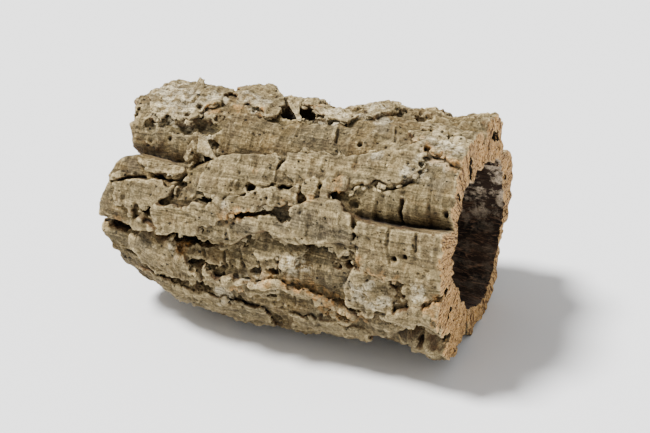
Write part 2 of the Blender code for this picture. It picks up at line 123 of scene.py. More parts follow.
# Loose plates that lie on the bark: (layer, height, lift of the lower and of the upper edge,
# outline as x and angle)
PLATES = {
    "top_left": (0, 5.0, 6.0, 0.5, (
        (-116, -14), (-112, 7), (-104, 15), (-95, 26), (-88, 22), (-78, 25), (-69, 26), (-63, 17),
        (-56, 10), (-57, -10), (-72, -16), (-90, -26), (-112, -24))),
    "top_middle": (0, 4.0, 4.0, 0.5, (
        (-60, -26), (-54, -8), (-42, 5), (-37, 3), (-28, 8), (-24, 11), (-17, 13), (-12, 8), (-14, -2),
        (-24, -19), (-40, -28))),
    "top_bridge": (0, 4.0, 5.0, 3.5, (
        (-3, -20), (8, -12), (25, -5), (35, -2), (38, 2), (37, 9), (28, 7), (19, 4), (10, 0), (4, -7),
        (-6, -12))),
    "top_roof": (1, 1.0, 4.0, 0.5, (
        (-22, -26), (-18, -13), (-12, -12), (-4, -9), (4, -11), (9, -8), (14, -14), (4, -24),
        (-8, -30))),
    "top_peak": (0, 4.5, 0.5, 0.5, ((34, -32), (40, -12), (48, 0), (58, -4), (64, -16), (54, -34))),
    "second_left": (0, 3.5, 2.5, 1.5, (
        (-118, 60), (-112, 80), (-92, 78), (-80, 74), (-70, 68), (-64, 62), (-80, 59), (-95, 61))),
    "second_top": (1, 3.2, 0.8, 1.0, ((-98, 50), (-86, 57), (-64, 54), (-62, 47), (-80, 46))),
    "second_middle": (0, 3.5, 1.0, 2.2, (
        (-48, 44), (-50, 62), (-30, 64), (-12, 59), (4, 52), (6, 38), (-18, 36))),
    "fin": (1, 8.5, 3.0, 3.5, (
        (-78, 71), (-64, 71), (-46, 68.5), (-28, 63), (-14, 58), (8, 53), (22, 51), (23, 57), (12, 61),
        (0, 64), (-12, 68), (-20, 70), (-30, 74), (-40, 80), (-50, 84), (-62, 84), (-74, 87),
        (-80, 80))),
    "bridge": (0, 6.0, 3.0, 0.5, ((-98, 82), (-84, 84), (-79, 90), (-84, 96), (-92, 102), (-100, 96))),
    "knob_left": (1, 6.0, 3.5, 1.5, ((25, 46), (27, 55), (31, 58), (36, 55), (36, 46))),
    "knob_middle": (1, 6.5, 3.5, 1.5, ((37, 46), (38, 55), (42, 58), (45, 54), (45, 45))),
    "knob_right": (1, 7.0, 3.5, 1.5, ((46, 42), (46, 50), (50, 53), (55, 48), (55, 41))),
    "upper_middle": (0, 4.5, 4.0, 2.0, (
        (8, 30), (6, 44), (22, 50), (44, 47), (56, 49), (63, 46), (72, 43), (78, 44), (86, 43),
        (92, 41), (97, 37), (101, 32), (101, 26), (98, 20), (84, 18), (68, 22), (50, 29), (30, 27))),
    "upper_right": (1, 4.2, 0.6, 0.5, (
        (79, 10), (88, 16), (94, 20), (100, 23), (109, 26), (117, 27.5), (124, 30), (128, 31),
        (128, 13), (112, 11), (94, 8))),
    "lip_left": (1, 7.0, 6.0, 1.0, (
        (92, 19), (94, 13), (101, 8.5), (108, 9), (110, 13), (104, 14), (98, 17))),
    "lip_right": (1, 6.5, 6.0, 1.0, (
        (108, 9), (114, 10), (122, 15), (124, 18), (117, 17.5), (112, 14))),
    "fan": (0, 6.5, 4.0, 2.5, (
        (20, 60), (20, 70), (27, 75), (36, 77), (44, 79), (54, 80), (65, 77), (64, 68), (60, 58),
        (50, 53), (36, 54))),
    "finger": (1, 5.0, 3.5, 1.0, ((2, 70), (10, 76), (20, 81), (28, 84), (32, 82), (27, 75), (16, 69))),
    "overhang": (0, 5.0, 5.0, 0.5, (
        (-62, 72), (-60, 88), (-50, 91), (-36, 90), (-24, 92), (-16, 88), (-13, 81), (4, 79), (14, 82),
        (24, 84), (26, 76), (10, 66), (-20, 70))),
    "middle_right": (0, 6.5, 4.5, 1.5, (
        (66, 62), (64, 79), (72, 83), (78, 86), (88, 87), (101, 88), (128, 86), (128, 59), (112, 60.5),
        (96, 60.5))),
    "lichen": (1, 3.5, 2.0, 0.5, (
        (62, 84), (60, 98), (64, 108), (70, 112), (80, 109), (92, 106), (95, 92), (84, 86))),
    "tongue": (1, 4.5, 2.5, 0.5, ((99, 84), (100, 98), (106, 101), (112, 98), (128, 91), (128, 80))),
    "cone": (0, 6.0, 4.0, 1.5, (
        (86, 110), (101, 101), (114, 98), (128, 92), (128, 112), (114, 108), (102, 111))),
    "lower_left": (0, 5.5, 3.5, 1.5, (
        (-104, 100), (-90, 95), (-76, 94), (-62, 94), (-58, 100), (-46, 109), (-44, 115), (-56, 119),
        (-80, 117), (-98, 113))),
    "shelf": (1, 6.0, 3.5, 3.0, (
        (-42, 101), (-36, 105), (-20, 103), (-12, 104), (-4, 104), (2, 100), (10, 99), (28, 101),
        (38, 103), (50, 106), (60, 112), (74, 117), (56, 119), (40, 113), (16, 109), (-4, 112),
        (-24, 115), (-40, 113))),
    "rib_plate": (1, 3.0, 2.0, 1.0, (
        (-8, 79), (-6, 90), (4, 91), (12, 88), (14, 95), (22, 94), (27, 84), (8, 77))),
    "belly_left": (0, 4.0, 2.5, 2.0, (
        (-104, 125), (-82, 122), (-60, 123), (-30, 123), (0, 123), (0, 142), (-40, 146), (-80, 140))),
    "belly_right": (0, 3.5, 2.0, 1.5, (
        (18, 121), (50, 120), (74, 125), (70, 138), (44, 148), (16, 140))),
    "foot": (0, 3.0, 0.5, 0.5, ((98, 126), (108, 121), (128, 134), (128, 156), (104, 152))),
    "back_upper": (0, 5.0, 3.5, 2.0, (
        (-70, 262), (-30, 256), (20, 262), (60, 258), (62, 278), (10, 286), (-40, 280), (-72, 284))),
    "back_left": (0, 4.5, 3.0, 2.0, (
        (-122, 222), (-90, 216), (-60, 222), (-66, 240), (-96, 244), (-120, 238))),
    "back_middle": (1, 4.5, 3.0, 2.0, (
        (-44, 222), (-8, 214), (30, 222), (52, 232), (20, 238), (-20, 236))),
    "back_right": (0, 5.0, 3.5, 2.0, (
        (72, 250), (100, 246), (128, 250), (128, 282), (96, 286), (76, 274))),
    "back_low": (0, 4.5, 3.0, 2.0, (
        (50, 204), (86, 200), (118, 206), (122, 226), (84, 228), (54, 222))),
    "back_top": (0, 4.5, 3.0, 1.0, (
        (-108, 306), (-74, 302), (-40, 308), (-44, 322), (-80, 320), (-106, 324))),
    "back_crest": (0, 4.5, 2.5, 2.5, (
        (20, 304), (56, 300), (92, 308), (88, 324), (50, 322), (22, 326))),
}
PLATE_SINK = 2.5
PLATE_REACH = 8.0
PLATE_RIM = (0.7, 1.2)
LINING = 3.0
LIFT_REACH = 9.0
RAGGED_EDGE = 1.2
THINNEST_EDGE = 1.8

# Holes carved in three dimensions: (x, angle, depth of the middle below the skin, half sizes along
# the tube, round it and towards its axis)
POCKETS = (
    (-114, 97, 4, 15, 4.5, 13), (-102, 95, 5, 8, 3.5, 10), (-84, 93, 6, 10, 4.5, 11),
    (-62, 93, 5, 19, 5, 12), (-44, 91, 5, 10, 4, 10), (-22, 88, 5, 12, 4, 9), (4, 80, 4, 14, 4, 9),
    (20, 84, 4, 9, 3, 8), (-101, 27, 2, 5, 6, 5), (-88, 27, 1, 8, 7, 4), (-76, 27, 2, 14, 4.5, 7),
    (-58, 25, 2, 12, 6, 7), (-48, 22, 1, 8, 7, 4), (-116, 20, 3, 3, 7, 5), (-6, -5, 6, 14, 15, 11),
    (-14, 0, 3, 6, 6, 8), (4, 1, 3, 10, 6, 9), (16, 6, 2, 10, 4, 6), (-36, 66, 3, 12, 2.2, 7),
    (14, 52, 3, 8, 1.8, 7), (36, 78, 5, 11, 3, 9), (26, 76, 5, 6, 3, 8), (-17, 87, 4, 6, 2, 6),
    (-46, 103, 4, 12, 4, 6), (61, 111, 5, 12, 4, 7), (40, 108, 4, 6, 3, 5), (108, 113, 6, 8, 5, 7),
    (80, -14, 4, 6, 4, 6), (94, 4, 2, 7, 3, 4), (33, 1, 2, 4, 3, 4), (-85, 78, 4, 10, 3.5, 7),
    (-62, 60, 3, 3, 3, 5), (-98, 116, 3, 14, 2.5, 6), (-70, 121, 3, 12, 2.5, 6),
    (-50, 121, 3, 8, 3, 6), (0, 114, 3, 9, 3, 6), (-62, 190, 4, 12, 6, 7), (34, 214, 4, 14, 6, 7),
    (-20, 262, 4, 12, 7, 8), (70, 276, 4, 13, 6, 7), (-84, 306, 4, 10, 7, 7), (12, 336, 4, 10, 5, 6),
    (92, 226, 4, 12, 7, 7), (-40, 230, 3, 8, 3, 6), (44, 250, 3, 9, 3, 6), (-70, 272, 3, 8, 4, 6),
    (22, 304, 3, 10, 4, 6), (100, 320, 3, 9, 4, 6),
)
TOP_POCKETS = (
    (-11, 55.5, 1, 4.5, 3.2, 8), (75, 43, 1, 4, 2.4, 7), (60, 54, 2, 4, 3.5, 4),
    (-4, 99, 2, 4.5, 3, 6), (9, 97, 2, 4.5, 3, 6), (54, 87, 1, 3.5, 2, 6), (99, 31, 0, 2.2, 2.2, 6),
    (110, 124, 0, 2.4, 2.4, 7), (110, 40, -3, 12, 5, 5), (3, 135, 1, 4, 8, 6), (-50, 34, 1, 5, 3, 5),
    (-62, 97, 0, 2.5, 1.6, 4), (24, 102, 0, 4, 1.8, 5), (-36, 102, 1, 5, 1.6, 6),
    (-43, 106, 1, 5, 2.4, 7), (57, 116, -1, 7, 2.2, 7), (45, 114, -1, 3, 2, 6),
    (-94, 77, 0, 2, 1.4, 4),
)
POCKET_ROUGHNESS = 0.5

# Loose flakes, each a thin bent sheet: its four corners as (x, angle, height above the crests), how
# far its middle bulges out, and its thickness
FLAKES = (
    (((-58, 33, 3), (-49, 37, -1), (-37, 46, 1), (-59, 40.5, -6)), 1.5, 1.3),
    (((-64, 34, -7), (-59, 33, -3), (-53, 44, -9), (-60, 45, -12)), 1.0, 1.4),
    (((-86, -3, 0), (-73, -1, 0), (-75, -4, 9), (-79, -5, 11)), 1.0, 1.2),
    (((-15, -8, 1), (-12, -6, 2), (5, 9, 0), (2, 10.5, -1)), 1.0, 0.9),
    (((-10, -11, 0), (-8, -11, 1), (-2, 0, -2), (-4, 1, -3)), 1.0, 0.8),
    (((96, 18, -1), (110, 17, -1), (108, 11, 5), (99, 11, 5)), 1.5, 1.2),
    (((111, 17, -1), (124, 18, -1), (121, 14, 4), (114, 13, 4)), 1.0, 1.1),
)
CHIP_SPACING = 11.0
CHIP_WIDTHS = (1.5, 4.5)
CHIP_REACHES = (0.6, 2.4)
CHIP_ANGLES = (-60.0, 125.0)
CHIP_THICKNESS = 0.9
CHIP_SEED = 91
CHIP_STEPS = 5
CHIP_FOOT = 2.0
CHIP_SINK = 1.2
CHIP_RISES = (-2.0, 0.3)
CHIP_TIP = 0.6
CHIP_BULGE = 0.6
LEAST_DOWNHILL = 0.3
LEAST_RADIUS = 40
FLAKE_STEPS = 14
FLAKE_MARKS = (("rough", 1.0), ("plate", 1.0), ("pale", 0.4))
CHIP_LIMIT = 124.0
FLAKE_RAGGED = 0.45
# Crowding given to the flakes: it lays part of the crests' pale weathering and painted highlight on them.
FLAKE_CROWDING = 0.40

# Lumps added in three dimensions, laid out like the pockets
LUMPS = (
    (48, -10, 0, 7, 6, 4), (62, -10, -1, 3, 3, 4), (34, 53, 0, 4, 4, 4), (-90, 92, 3, 8, 7, 4),
    (-62, 42, -3, 4.5, 13, 11), (93, 6, 0, 6, 4, 3), (116, 140, 2, 9, 9, 6),
)

# Holes in the sawn end: (angle, radius, half size round the tube, across the wall, and inwards)
END_POCKETS = (
    (328, 70, 9.0, 3.4, 8), (318, 62, 2.0, 3.5, 4), (18, 66, 4.0, 9.5, 8), (95, 70, 2.4, 9.0, 6),
    (90, 82, 1.8, 4.5, 4), (117, 62, 3.0, 6.0, 5), (211, 76, 3.0, 4.0, 5), (193, 86, 2.0, 5.0, 4),
    (255, 84, 1.6, 4.0, 3), (40, 70, 1.4, 5.0, 3), (130, 72, 1.8, 5.0, 4), (280, 70, 1.6, 4.0, 3),
)

# Worm holes: (x, angle, radius, depth)
WORM_HOLES = (
    (-68, 14, 1.6, 9), (-73, 21, 2.0, 8), (-64, 19, 1.4, 7), (-84, 32, 1.2, 6), (51, 20, 1.4, 8),
    (-80, 58, 1.8, 8), (-117, 66, 1.4, 6), (62, 85, 2.4, 9), (-44, 41, 1.2, 6), (120, 50, 1.6, 6),
    (93, 76, 1.6, 6), (100, 74, 1.3, 6), (110, 127, 2.2, 9), (-20, 122, 1.4, 6), (-28, 126, 1.2, 6),
    (22, 112, 1.6, 8), (47, 118, 1.6, 8),
)

# Open cracks: (width, depth, path as x and angle)
CRACKS = (
    (2.0, 4.0, ((-117, 66), (-106, 62), (-96, 60), (-92, 60))),
    (2.0, 4.0, ((-84, 58), (-74, 59), (-66, 58), (-62, 54))),
    (1.8, 3.0, ((-62, 54), (-66, 61), (-68, 68))), (2.0, 4.0, ((-66, 34), (-68, 38), (-71, 43))),
    (2.4, 7.0, ((91, 48), (90, 53), (92, 59))), (1.5, 1.6, ((109, 48), (110, 56), (109, 60))),
    (1.8, 2.5, ((75, 50), (74, 58))), (2.0, 3.0, ((58, 50), (58, 46), (64, 44))),
    (2.0, 4.0, ((80, 44), (88, 42), (95, 39))), (1.8, 2.5, ((32, 10), (34, 20))),
    (1.8, 2.5, ((70, 6), (74, 17))), (1.8, 2.0, ((88, 62), (88, 70), (91, 78))),
    (1.8, 2.0, ((106, 62), (107, 70))), (1.8, 2.0, ((-47, 93), (-42, 98), (-38, 104))),
    (1.8, 2.5, ((-30, 92), (-26, 101))), (1.8, 2.5, ((-17, 92), (-13, 99))),
    (1.8, 2.5, ((-3, 90), (-1, 98))), (1.8, 2.5, ((12, 90), (14, 96))),
    (2.2, 5.0, ((-112, 118), (-98, 117), (-84, 119), (-68, 121), (-50, 120))),
)

# Where the bark is smooth, with only fine growth lines: outlines as x and angle
CALM = (
    ((-52, 16), (-48, 34), (0, 31), (60, 26), (62, 10), (44, 8), (16, 16), (-30, 14)),
    ((62, 40), (62, 62), (100, 62), (124, 60), (124, 40), (90, 36)),
    ((66, 64), (68, 88), (124, 90), (124, 64)),
    ((-54, 86), (-40, 98), (0, 97), (32, 100), (62, 96), (64, 78), (30, 82), (0, 80), (-30, 90)),
    ((26, 62), (28, 74), (64, 76), (62, 60), (40, 60)),
    ((-90, 30), (-90, 44), (-66, 44), (-62, 32)),
    ((-120, 50), (-122, 80), (-90, 74), (-60, 66), (-60, 50), (-90, 46)),
    ((-46, 44), (-50, 62), (-10, 58), (4, 50), (0, 40)),
    ((-70, 74), (-60, 86), (-20, 84), (20, 76), (10, 62), (-20, 70)),
    ((84, 2), (88, 28), (128, 33), (128, 0)),
    ((-114, -20), (-108, 8), (-90, 21), (-66, 19), (-60, -12), (-80, -22)),
)

# Growth lines that spread from a point: (x and angle of the point, outline, spacing, height)
FANS = (
    ((66, 60), ((20, 60), (27, 76), (44, 80), (62, 78), (65, 68), (60, 58), (36, 54)), 2.6, 0.30),
    ((-48, 52), ((-46, 45), (-48, 61), (-28, 63), (-8, 57), (2, 50), (4, 40), (-18, 37)), 2.4, 0.22),
    ((70, 36), ((20, 31), (34, 44), (60, 44), (92, 40), (98, 34), (88, 24), (52, 30)), 2.6, 0.25),
)
CALM_RIM = 8.0
CALM_SHARE = 0.75
FRONT_SHARE = 0.5

# Seeded roughness: (seed, longest wave, shortest wave, stretch along the tube, height)
RAGGED = ((51, 18.0, 6.0, 1.0, 1.0), (52, 5.0, 1.8, 1.0, 0.25))
CELL_BEND = (32, 60.0, 14.0, 1.0, 5.0)
PLATE_GRAIN = (61, 60.0, 12.0, 1.3, 0.9)
PLATE_FINE = ((62, 9.0, 3.0, 1.4, 0.14), (15, 60.0, 14.0, 0.22, 0.25))
SKIN_WAVES = ((11, 90.0, 26.0, 2.2, 1.6), (12, 30.0, 9.0, 1.5, 0.9))
FINE_WAVES = ((13, 12.0, 4.0, 1.6, 0.30), (14, 5.0, 1.8, 1.2, 0.10))
RIBS = ((15, 60.0, 14.0, 0.22, 0.36), (16, 26.0, 8.0, 0.25, 0.14))
LAYER_WAVES = (17, 60.0, 11.0, 1.5, 1.5)
GRAIN = 0.10
HOLLOW_WAVES = ((21, 80.0, 20.0, 2.6, 1.4), (22, 26.0, 12.0, 2.0, 0.6), (23, 14.0, 4.0, 3.0, 0.5))
MOUTH = 104.0
MOUTH_REACH = 14.0
MOUTH_CALM = 0.7
MOUTH_CALMS_BELOW = 20.0
END_WAVE = (43, 12.0, 2.5)
END_WAVE_STEP = 0.5
END_FRAY = (0.45, 0.35)
LEFT_WAVE = (41, 40.0, 9.0, 1.5)
RIGHT_WAVE = (42, 30.0, 9.0, 0.5)
GRAIN_SEED = 81
GRAIN_WAVES = (9.0, 1.8)
GRAIN_REPEAT = 128
CELL_SEED = 31
CELL_LENGTH = 34.0
CELL_WIDTH = 21.0
CELL_HEIGHT = 3.4
CELL_CRACK = 1.8
CELL_CRACK_DEPTH = 2.6
TERRACE = 1.5
PLATE_TERRACE = 1.3
TERRACE_RISE = (0.35, 0.3)
WAVE_FALL = -1.6
GRAIN_FALL = -1.5
CELL_MIDDLES = (0.15, 0.85)
CELL_RAGGED = (1.4, 1.1)
LAYER_RAGGED = 0.22
CRACK_RAGGED = 0.35
FURROW_SHAPE = 1.7
PORE_SEED = 71
PORE_SPACING = 7.0
PORE_SHARE = 0.6
PORE_SIZES = (0.6, 0.7)
PORE_DEPTH = 3.0

# Grid of cells, its spans in millimetres, and the finished mesh
X_SPAN = (-134.0, 130.0)
Y_SPAN = (-98.0, 106.0)
Z_SPAN = (-4.0, 176.0)
RADIUS_SPAN = (26, 104)
HIGHEST = 110.0
CELL = 0.6
MAP_COLUMNS = 1100
BAND = 2.0
SOFTEN = 0.14
TRIANGLES = 780000
SHARES = 4
WAVE_SPAN = 320.0
TURN = 2 * math.pi * MEAN_RADIUS
CROWD_NEAR = 1.6
CROWD_WIDE = 5.6

# Which faces have which finish: reaches in millimetres, and how far a face looks along the tube
HOLLOW_SKIN = 4.0
SAWN_REACH = (5.0, 2.0)
SAWN_FACING = (0.75, 0.55)
PLATE_SKIN = 1.6
PLATE_MARGIN = 0.3
BARK, SAWN, HOLLOW = 0, 1, 2

# Spots of colour on the bark: (x, angle, radius)
SPOTS = {
    "orange": (
        (-113, 94, 7), (-108, 93, 6), (-58, 14, 4), (-59, -16, 5), (-43, 7, 4), (-26, 9, 3),
        (9, -7, 4), (-23, 71, 6), (-18, 68, 5), (16, 60, 4), (-11, 47, 2), (-8, 67, 3), (55, 36, 3),
        (47, 46, 5), (30, 56, 3), (91, 18, 4), (98, 22, 4), (105, 25, 4), (112, 26, 4), (119, 28, 4),
        (124, 29, 4), (70, 81, 4), (78, 85, 4), (86, 86, 4), (96, 86, 3), (125, 63, 3), (125, 73, 4),
        (49, 107, 4), (42, 115, 4), (52, 115, 5), (60, 117, 5), (72, 114, 4), (34, 101, 4),
        (-60, 97, 4), (-19, 113, 5), (5, 101, 4), (19, 100, 4), (27, 101, 4), (40, 104, 5),
        (112, 141, 5), (120, 96, 6), (125, 104, 5), (-30, 300, 6), (60, 220, 7), (-80, 250, 6),
        (20, 270, 5), (100, 300, 6), (90, 190, 6), (-100, 200, 6), (0, 170, 5), (-50, 160, 5),
    ),
    "pale": (
        (67, 95, 5), (73, 100, 6), (76, 94, 4), (87, 101, 6), (81, 103, 5), (110, 93, 6), (-24, 67, 4),
        (22, 91, 9), (-33, 122, 6), (-66, 96, 5), (99, 31, 6), (94, 36, 5), (107, 19, 6), (117, 21, 6),
        (67, 29, 4), (-55, 33, 5), (0, 103, 5), (10, 110, 5), (-12, 106, 4), (60, 98, 3), (-86, 3, 13),
        (-100, 2, 12), (-76, 14, 12), (56, 0, 6), (-62, 5, 8), (-92, 18, 10), (-40, -2, 9),
        (-30, 4, 7), (22, 0, 9), (32, 4, 6), (46, -8, 8), (110, 24, 8), (98, 20, 6), (-108, -10, 10),
        (-20, 290, 8), (50, 310, 9), (-70, 235, 8), (30, 200, 7), (90, 260, 9), (-100, 290, 7),
    ),
    "light": (
        (74, 50, 11), (88, 50, 13), (102, 50, 13), (116, 49, 13), (84, 42, 9), (104, 42, 9),
        (-2, 94, 9), (8, 90, 8), (-12, 85, 7), (70, 20, 10), (110, 4, 12), (100, -4, 10),
    ),
    "grey": (
        (-14, 72, 10), (16, 66, 9), (-103, 55, 6), (-90, 100, 7), (40, 70, 6), (-8, 74, 6), (60, 8, 7),
        (30, 65, 8), (44, 69, 9), (57, 70, 8), (112, 38, 7), (-40, 215, 12), (60, 285, 12),
        (0, 330, 9),
    ),
}
SPOT_BLUR = 0.55
SPOT_RAGGED = 0.28

# Colours
BARK_GREY = (0.129, 0.098, 0.048)
BARK_TAN = (0.155, 0.103, 0.040)
BARK_PALE = (0.301, 0.220, 0.101)
BARK_PLATE = (0.290, 0.222, 0.108)
BARK_OLIVE = (0.103, 0.083, 0.029)
BARK_SMOOTH = (0.138, 0.108, 0.060)
BARK_WHITE = (0.620, 0.530, 0.340)
BARK_RUST = (0.120, 0.056, 0.022)
BARK_ORANGE = (0.400, 0.215, 0.068)
# Pale weathering on the crests, and painted highlight there
BARK_CREST_WEAR_AND_HIGHLIGHT = (0.560, 0.440, 0.230)
BARK_STAIN = (0.069, 0.043, 0.020)
# Painted shade, laid in holes and creases
BARK_PAINTED_SHADE = (0.012, 0.008, 0.005)
SAWN_TAN = (0.480, 0.262, 0.088)
SAWN_ORANGE = (0.560, 0.295, 0.085)
SAWN_PALE = (0.900, 0.610, 0.290)
SAWN_SPECK = (0.070, 0.030, 0.014)
# Painted shade, laid in the sawn end's holes
SAWN_HOLE_SHADE = (0.045, 0.014, 0.008)
HOLLOW_BROWN = (0.034, 0.017, 0.009)
HOLLOW_DARK = (0.006, 0.004, 0.003)
HOLLOW_LINE = (0.220, 0.125, 0.070)
HOLLOW_DUST = (0.800, 0.640, 0.450)

# Stage: the floor's size and the sun's place are in metres
FLOOR_SIZE = 6.0
FLOOR_WHITE = 0.92
FLOOR_ROUGHNESS = 0.9
STUDIO_LIGHT = 0.62
SUN_LIGHT = 8.0
SUN_SPREAD = 14.0
SUN_FROM = (-0.50, -0.20, 1.0)

# Camera: its distance and what it looks at are in millimetres
SENSOR = 36
CAMERA_AZIMUTH = 21.0
CAMERA_ELEVATION = 29.5
CAMERA_DISTANCE = 1135.0
CAMERA_TARGET = (16.5, 0.0, -5.5)
LENS = 90.0


def smooth(t):
    """Ease from 0 to 1 as t goes from 0 to 1."""
    t = np.clip(t, 0.0, 1.0)
    return t * t * (3 - 2 * t)


def cubic(a, b, c, d, t):
    """Catmull-Rom value between b and c."""
    return b + 0.5 * t * (c - a + t * (2 * a - 5 * b + 4 * c - d + t * (3 * (b - c) + d - a)))


def radii(table, x, angle):
    """Smooth surface through a table of radii, at arrays of x and angle."""
    table = np.array(table, float)
    rows, columns = table.shape
    along = np.clip((x - STATION_FIRST) / STATION_GAP, 0, rows - 1 - 1e-6)
    round_ = np.mod(angle, 360.0) * columns / 360.0
    i = along.astype(int)
    j = round_.astype(int)

    def row(step):
        k = np.clip(i + step, 0, rows - 1)
        points = [table[k, (j + n) % columns] for n in (-1, 0, 1, 2)]
        return cubic(*points, round_ - j)

    return cubic(row(-1), row(0), row(1), row(2), along - i)


def edge(points, angle):
    """Where an end of the tube lies, at an array of angles."""
    return np.interp(angle, [p[0] for p in points], [p[1] for p in points], period=360.0)


def wavy_edge(points, wave, angle):
    """Where an end of the tube lies, with seeded waves."""
    seed, longest, shortest, height = wave
    return edge(points, angle) + height * waves(seed, longest, shortest, 1.0, np.zeros(1), angle)[0]


def along_tube(x, angle):
    """Places on the tube as if it were an even pipe, for patterns that follow it."""
    turn = np.radians(angle)
    return np.stack([x, -MEAN_RADIUS * np.sin(turn), MEAN_RADIUS * np.cos(turn)], axis=1)


def gap(angle, centre):
    """Distance round the tube from centre to angle, in millimetres."""
    return np.radians(np.mod(angle - centre + 180.0, 360.0) - 180.0) * MEAN_RADIUS


def furrow_depth(path, x, angle):
    """Depth of one furrow: a sharp bottom between rounded shoulders."""
    places = np.array(path, float)
    at = [np.interp(x, places[:, 0], places[:, k]) for k in range(1, 5)]
    inside = (x >= places[0, 0] - 1) & (x <= places[-1, 0] + 1)
    away = gap(angle, at[0])
    width = np.where(away < 0, at[2], at[3])
    near = np.clip(1 - np.abs(away) / width, 0.0, 1.0)
    return np.where(inside, at[1] * near ** FURROW_SHAPE, 0.0)


def window(points, reach, x, angle):
    """Rows and columns of the maps that lie within reach of a path."""
    spots = np.array(points, float)
    rows = np.flatnonzero((x > spots[:, 0].min() - reach) & (x < spots[:, 0].max() + reach))
    middle = 0.5 * (spots[:, 1].min() + spots[:, 1].max())
    half = np.radians(spots[:, 1].max() - middle) * MEAN_RADIUS + reach
    return np.ix_(rows, np.flatnonzero(np.abs(gap(angle, middle)) < half))


def path_distance(points, closed, x, angle):
    """Millimetres to a path of (x, angle) points; for a closed one, more than 0 inside it."""
    points = np.array(points, float)
    middle = points[:, 1].mean()
    px = points[:, 0]
    py = np.radians(points[:, 1]) * MEAN_RADIUS
    y = gap(angle, middle) + math.radians(middle) * MEAN_RADIUS
    nearest = np.full(np.broadcast(x, y).shape, 1e9)
    inside = np.zeros(nearest.shape, bool)
    for k in range(0 if closed else 1, len(px)):
        ax, ay, bx, by = px[k - 1], py[k - 1], px[k], py[k]
        along = ((x - ax) * (bx - ax) + (y - ay) * (by - ay)) / ((bx - ax) ** 2 + (by - ay) ** 2)
        along = np.clip(along, 0, 1)
        off = np.hypot(x - ax - along * (bx - ax), y - ay - along * (by - ay))
        nearest = np.minimum(nearest, off)
        if closed and ay != by:
            crosses = ((ay > y) != (by > y)) & (x < (bx - ax) * (y - ay) / (by - ay) + ax)
            inside ^= crosses
    return np.where(inside | (not closed), nearest, -nearest)


def waves(seed, longest, shortest, stretch, x, angle):
    """Smooth random relief of unit strength, which meets itself round the tube."""
    draw = np.random.default_rng(seed)
    most = int(WAVE_SPAN / shortest / min(stretch, 1.0))
    steps_along = np.arange(-most, most + 1)
    steps_round = np.arange(0, int(TURN / shortest) + 1)
    along = steps_along[:, None] / WAVE_SPAN
    round_ = steps_round[None, :] / TURN
    pitch = np.hypot(along * stretch, round_)
    kept = (pitch >= 1 / longest) & (pitch <= 1 / shortest)
    strength = np.where(kept, np.maximum(pitch, 1e-6) ** WAVE_FALL, 0.0)
    size = strength.shape
    strength = strength * (draw.normal(size=size) + 1j * draw.normal(size=size))
    power = 0.5 * np.sum(np.abs(strength) ** 2)
    ex = np.exp(2j * math.pi * np.outer(x, steps_along / WAVE_SPAN))
    et = np.exp(1j * np.outer(steps_round, np.radians(angle)))
    return (ex @ strength @ et).real / math.sqrt(power)


def cells(seed, length, width, x, y):
    """Cracked plates: a number for each plate, the distance to its edge, and that to its middle."""
    draw = np.random.default_rng(seed)
    count = int(round(TURN / width))
    width = TURN / count
    rows = int(WAVE_SPAN / length) + 4
    spots = draw.uniform(*CELL_MIDDLES, size=(rows, count, 2))
    number = draw.uniform(-1, 1, size=(rows, count))
    row = np.floor((x + WAVE_SPAN / 2) / length).astype(int) + 1
    column = np.floor(y / width).astype(int)
    first = np.full(x.shape, 1e9)
    second = np.full(x.shape, 1e9)
    value = np.zeros(x.shape)
    for di in (-1, 0, 1):
        for dj in (-1, 0, 1):
            i = np.clip(row + di, 0, rows - 1)
            j = column + dj
            spot = spots[i, j % count]
            away_x = (i - 1 + spot[..., 0]) * length - WAVE_SPAN / 2 - x
            away_y = (j + spot[..., 1]) * width - y
            away = np.hypot(away_x * width / length, away_y)
            closer = away < first
            second = np.where(closer, first, np.minimum(second, away))
            value = np.where(closer, number[i, j % count], value)
            first = np.where(closer, away, first)
    return value, second - first, first


def terraced(height, step):
    """Height broken into steps, as where thin layers of bark have come off."""
    level = height / step
    whole = np.floor(level)
    return step * (whole + smooth((level - whole - TERRACE_RISE[0]) / TERRACE_RISE[1]))


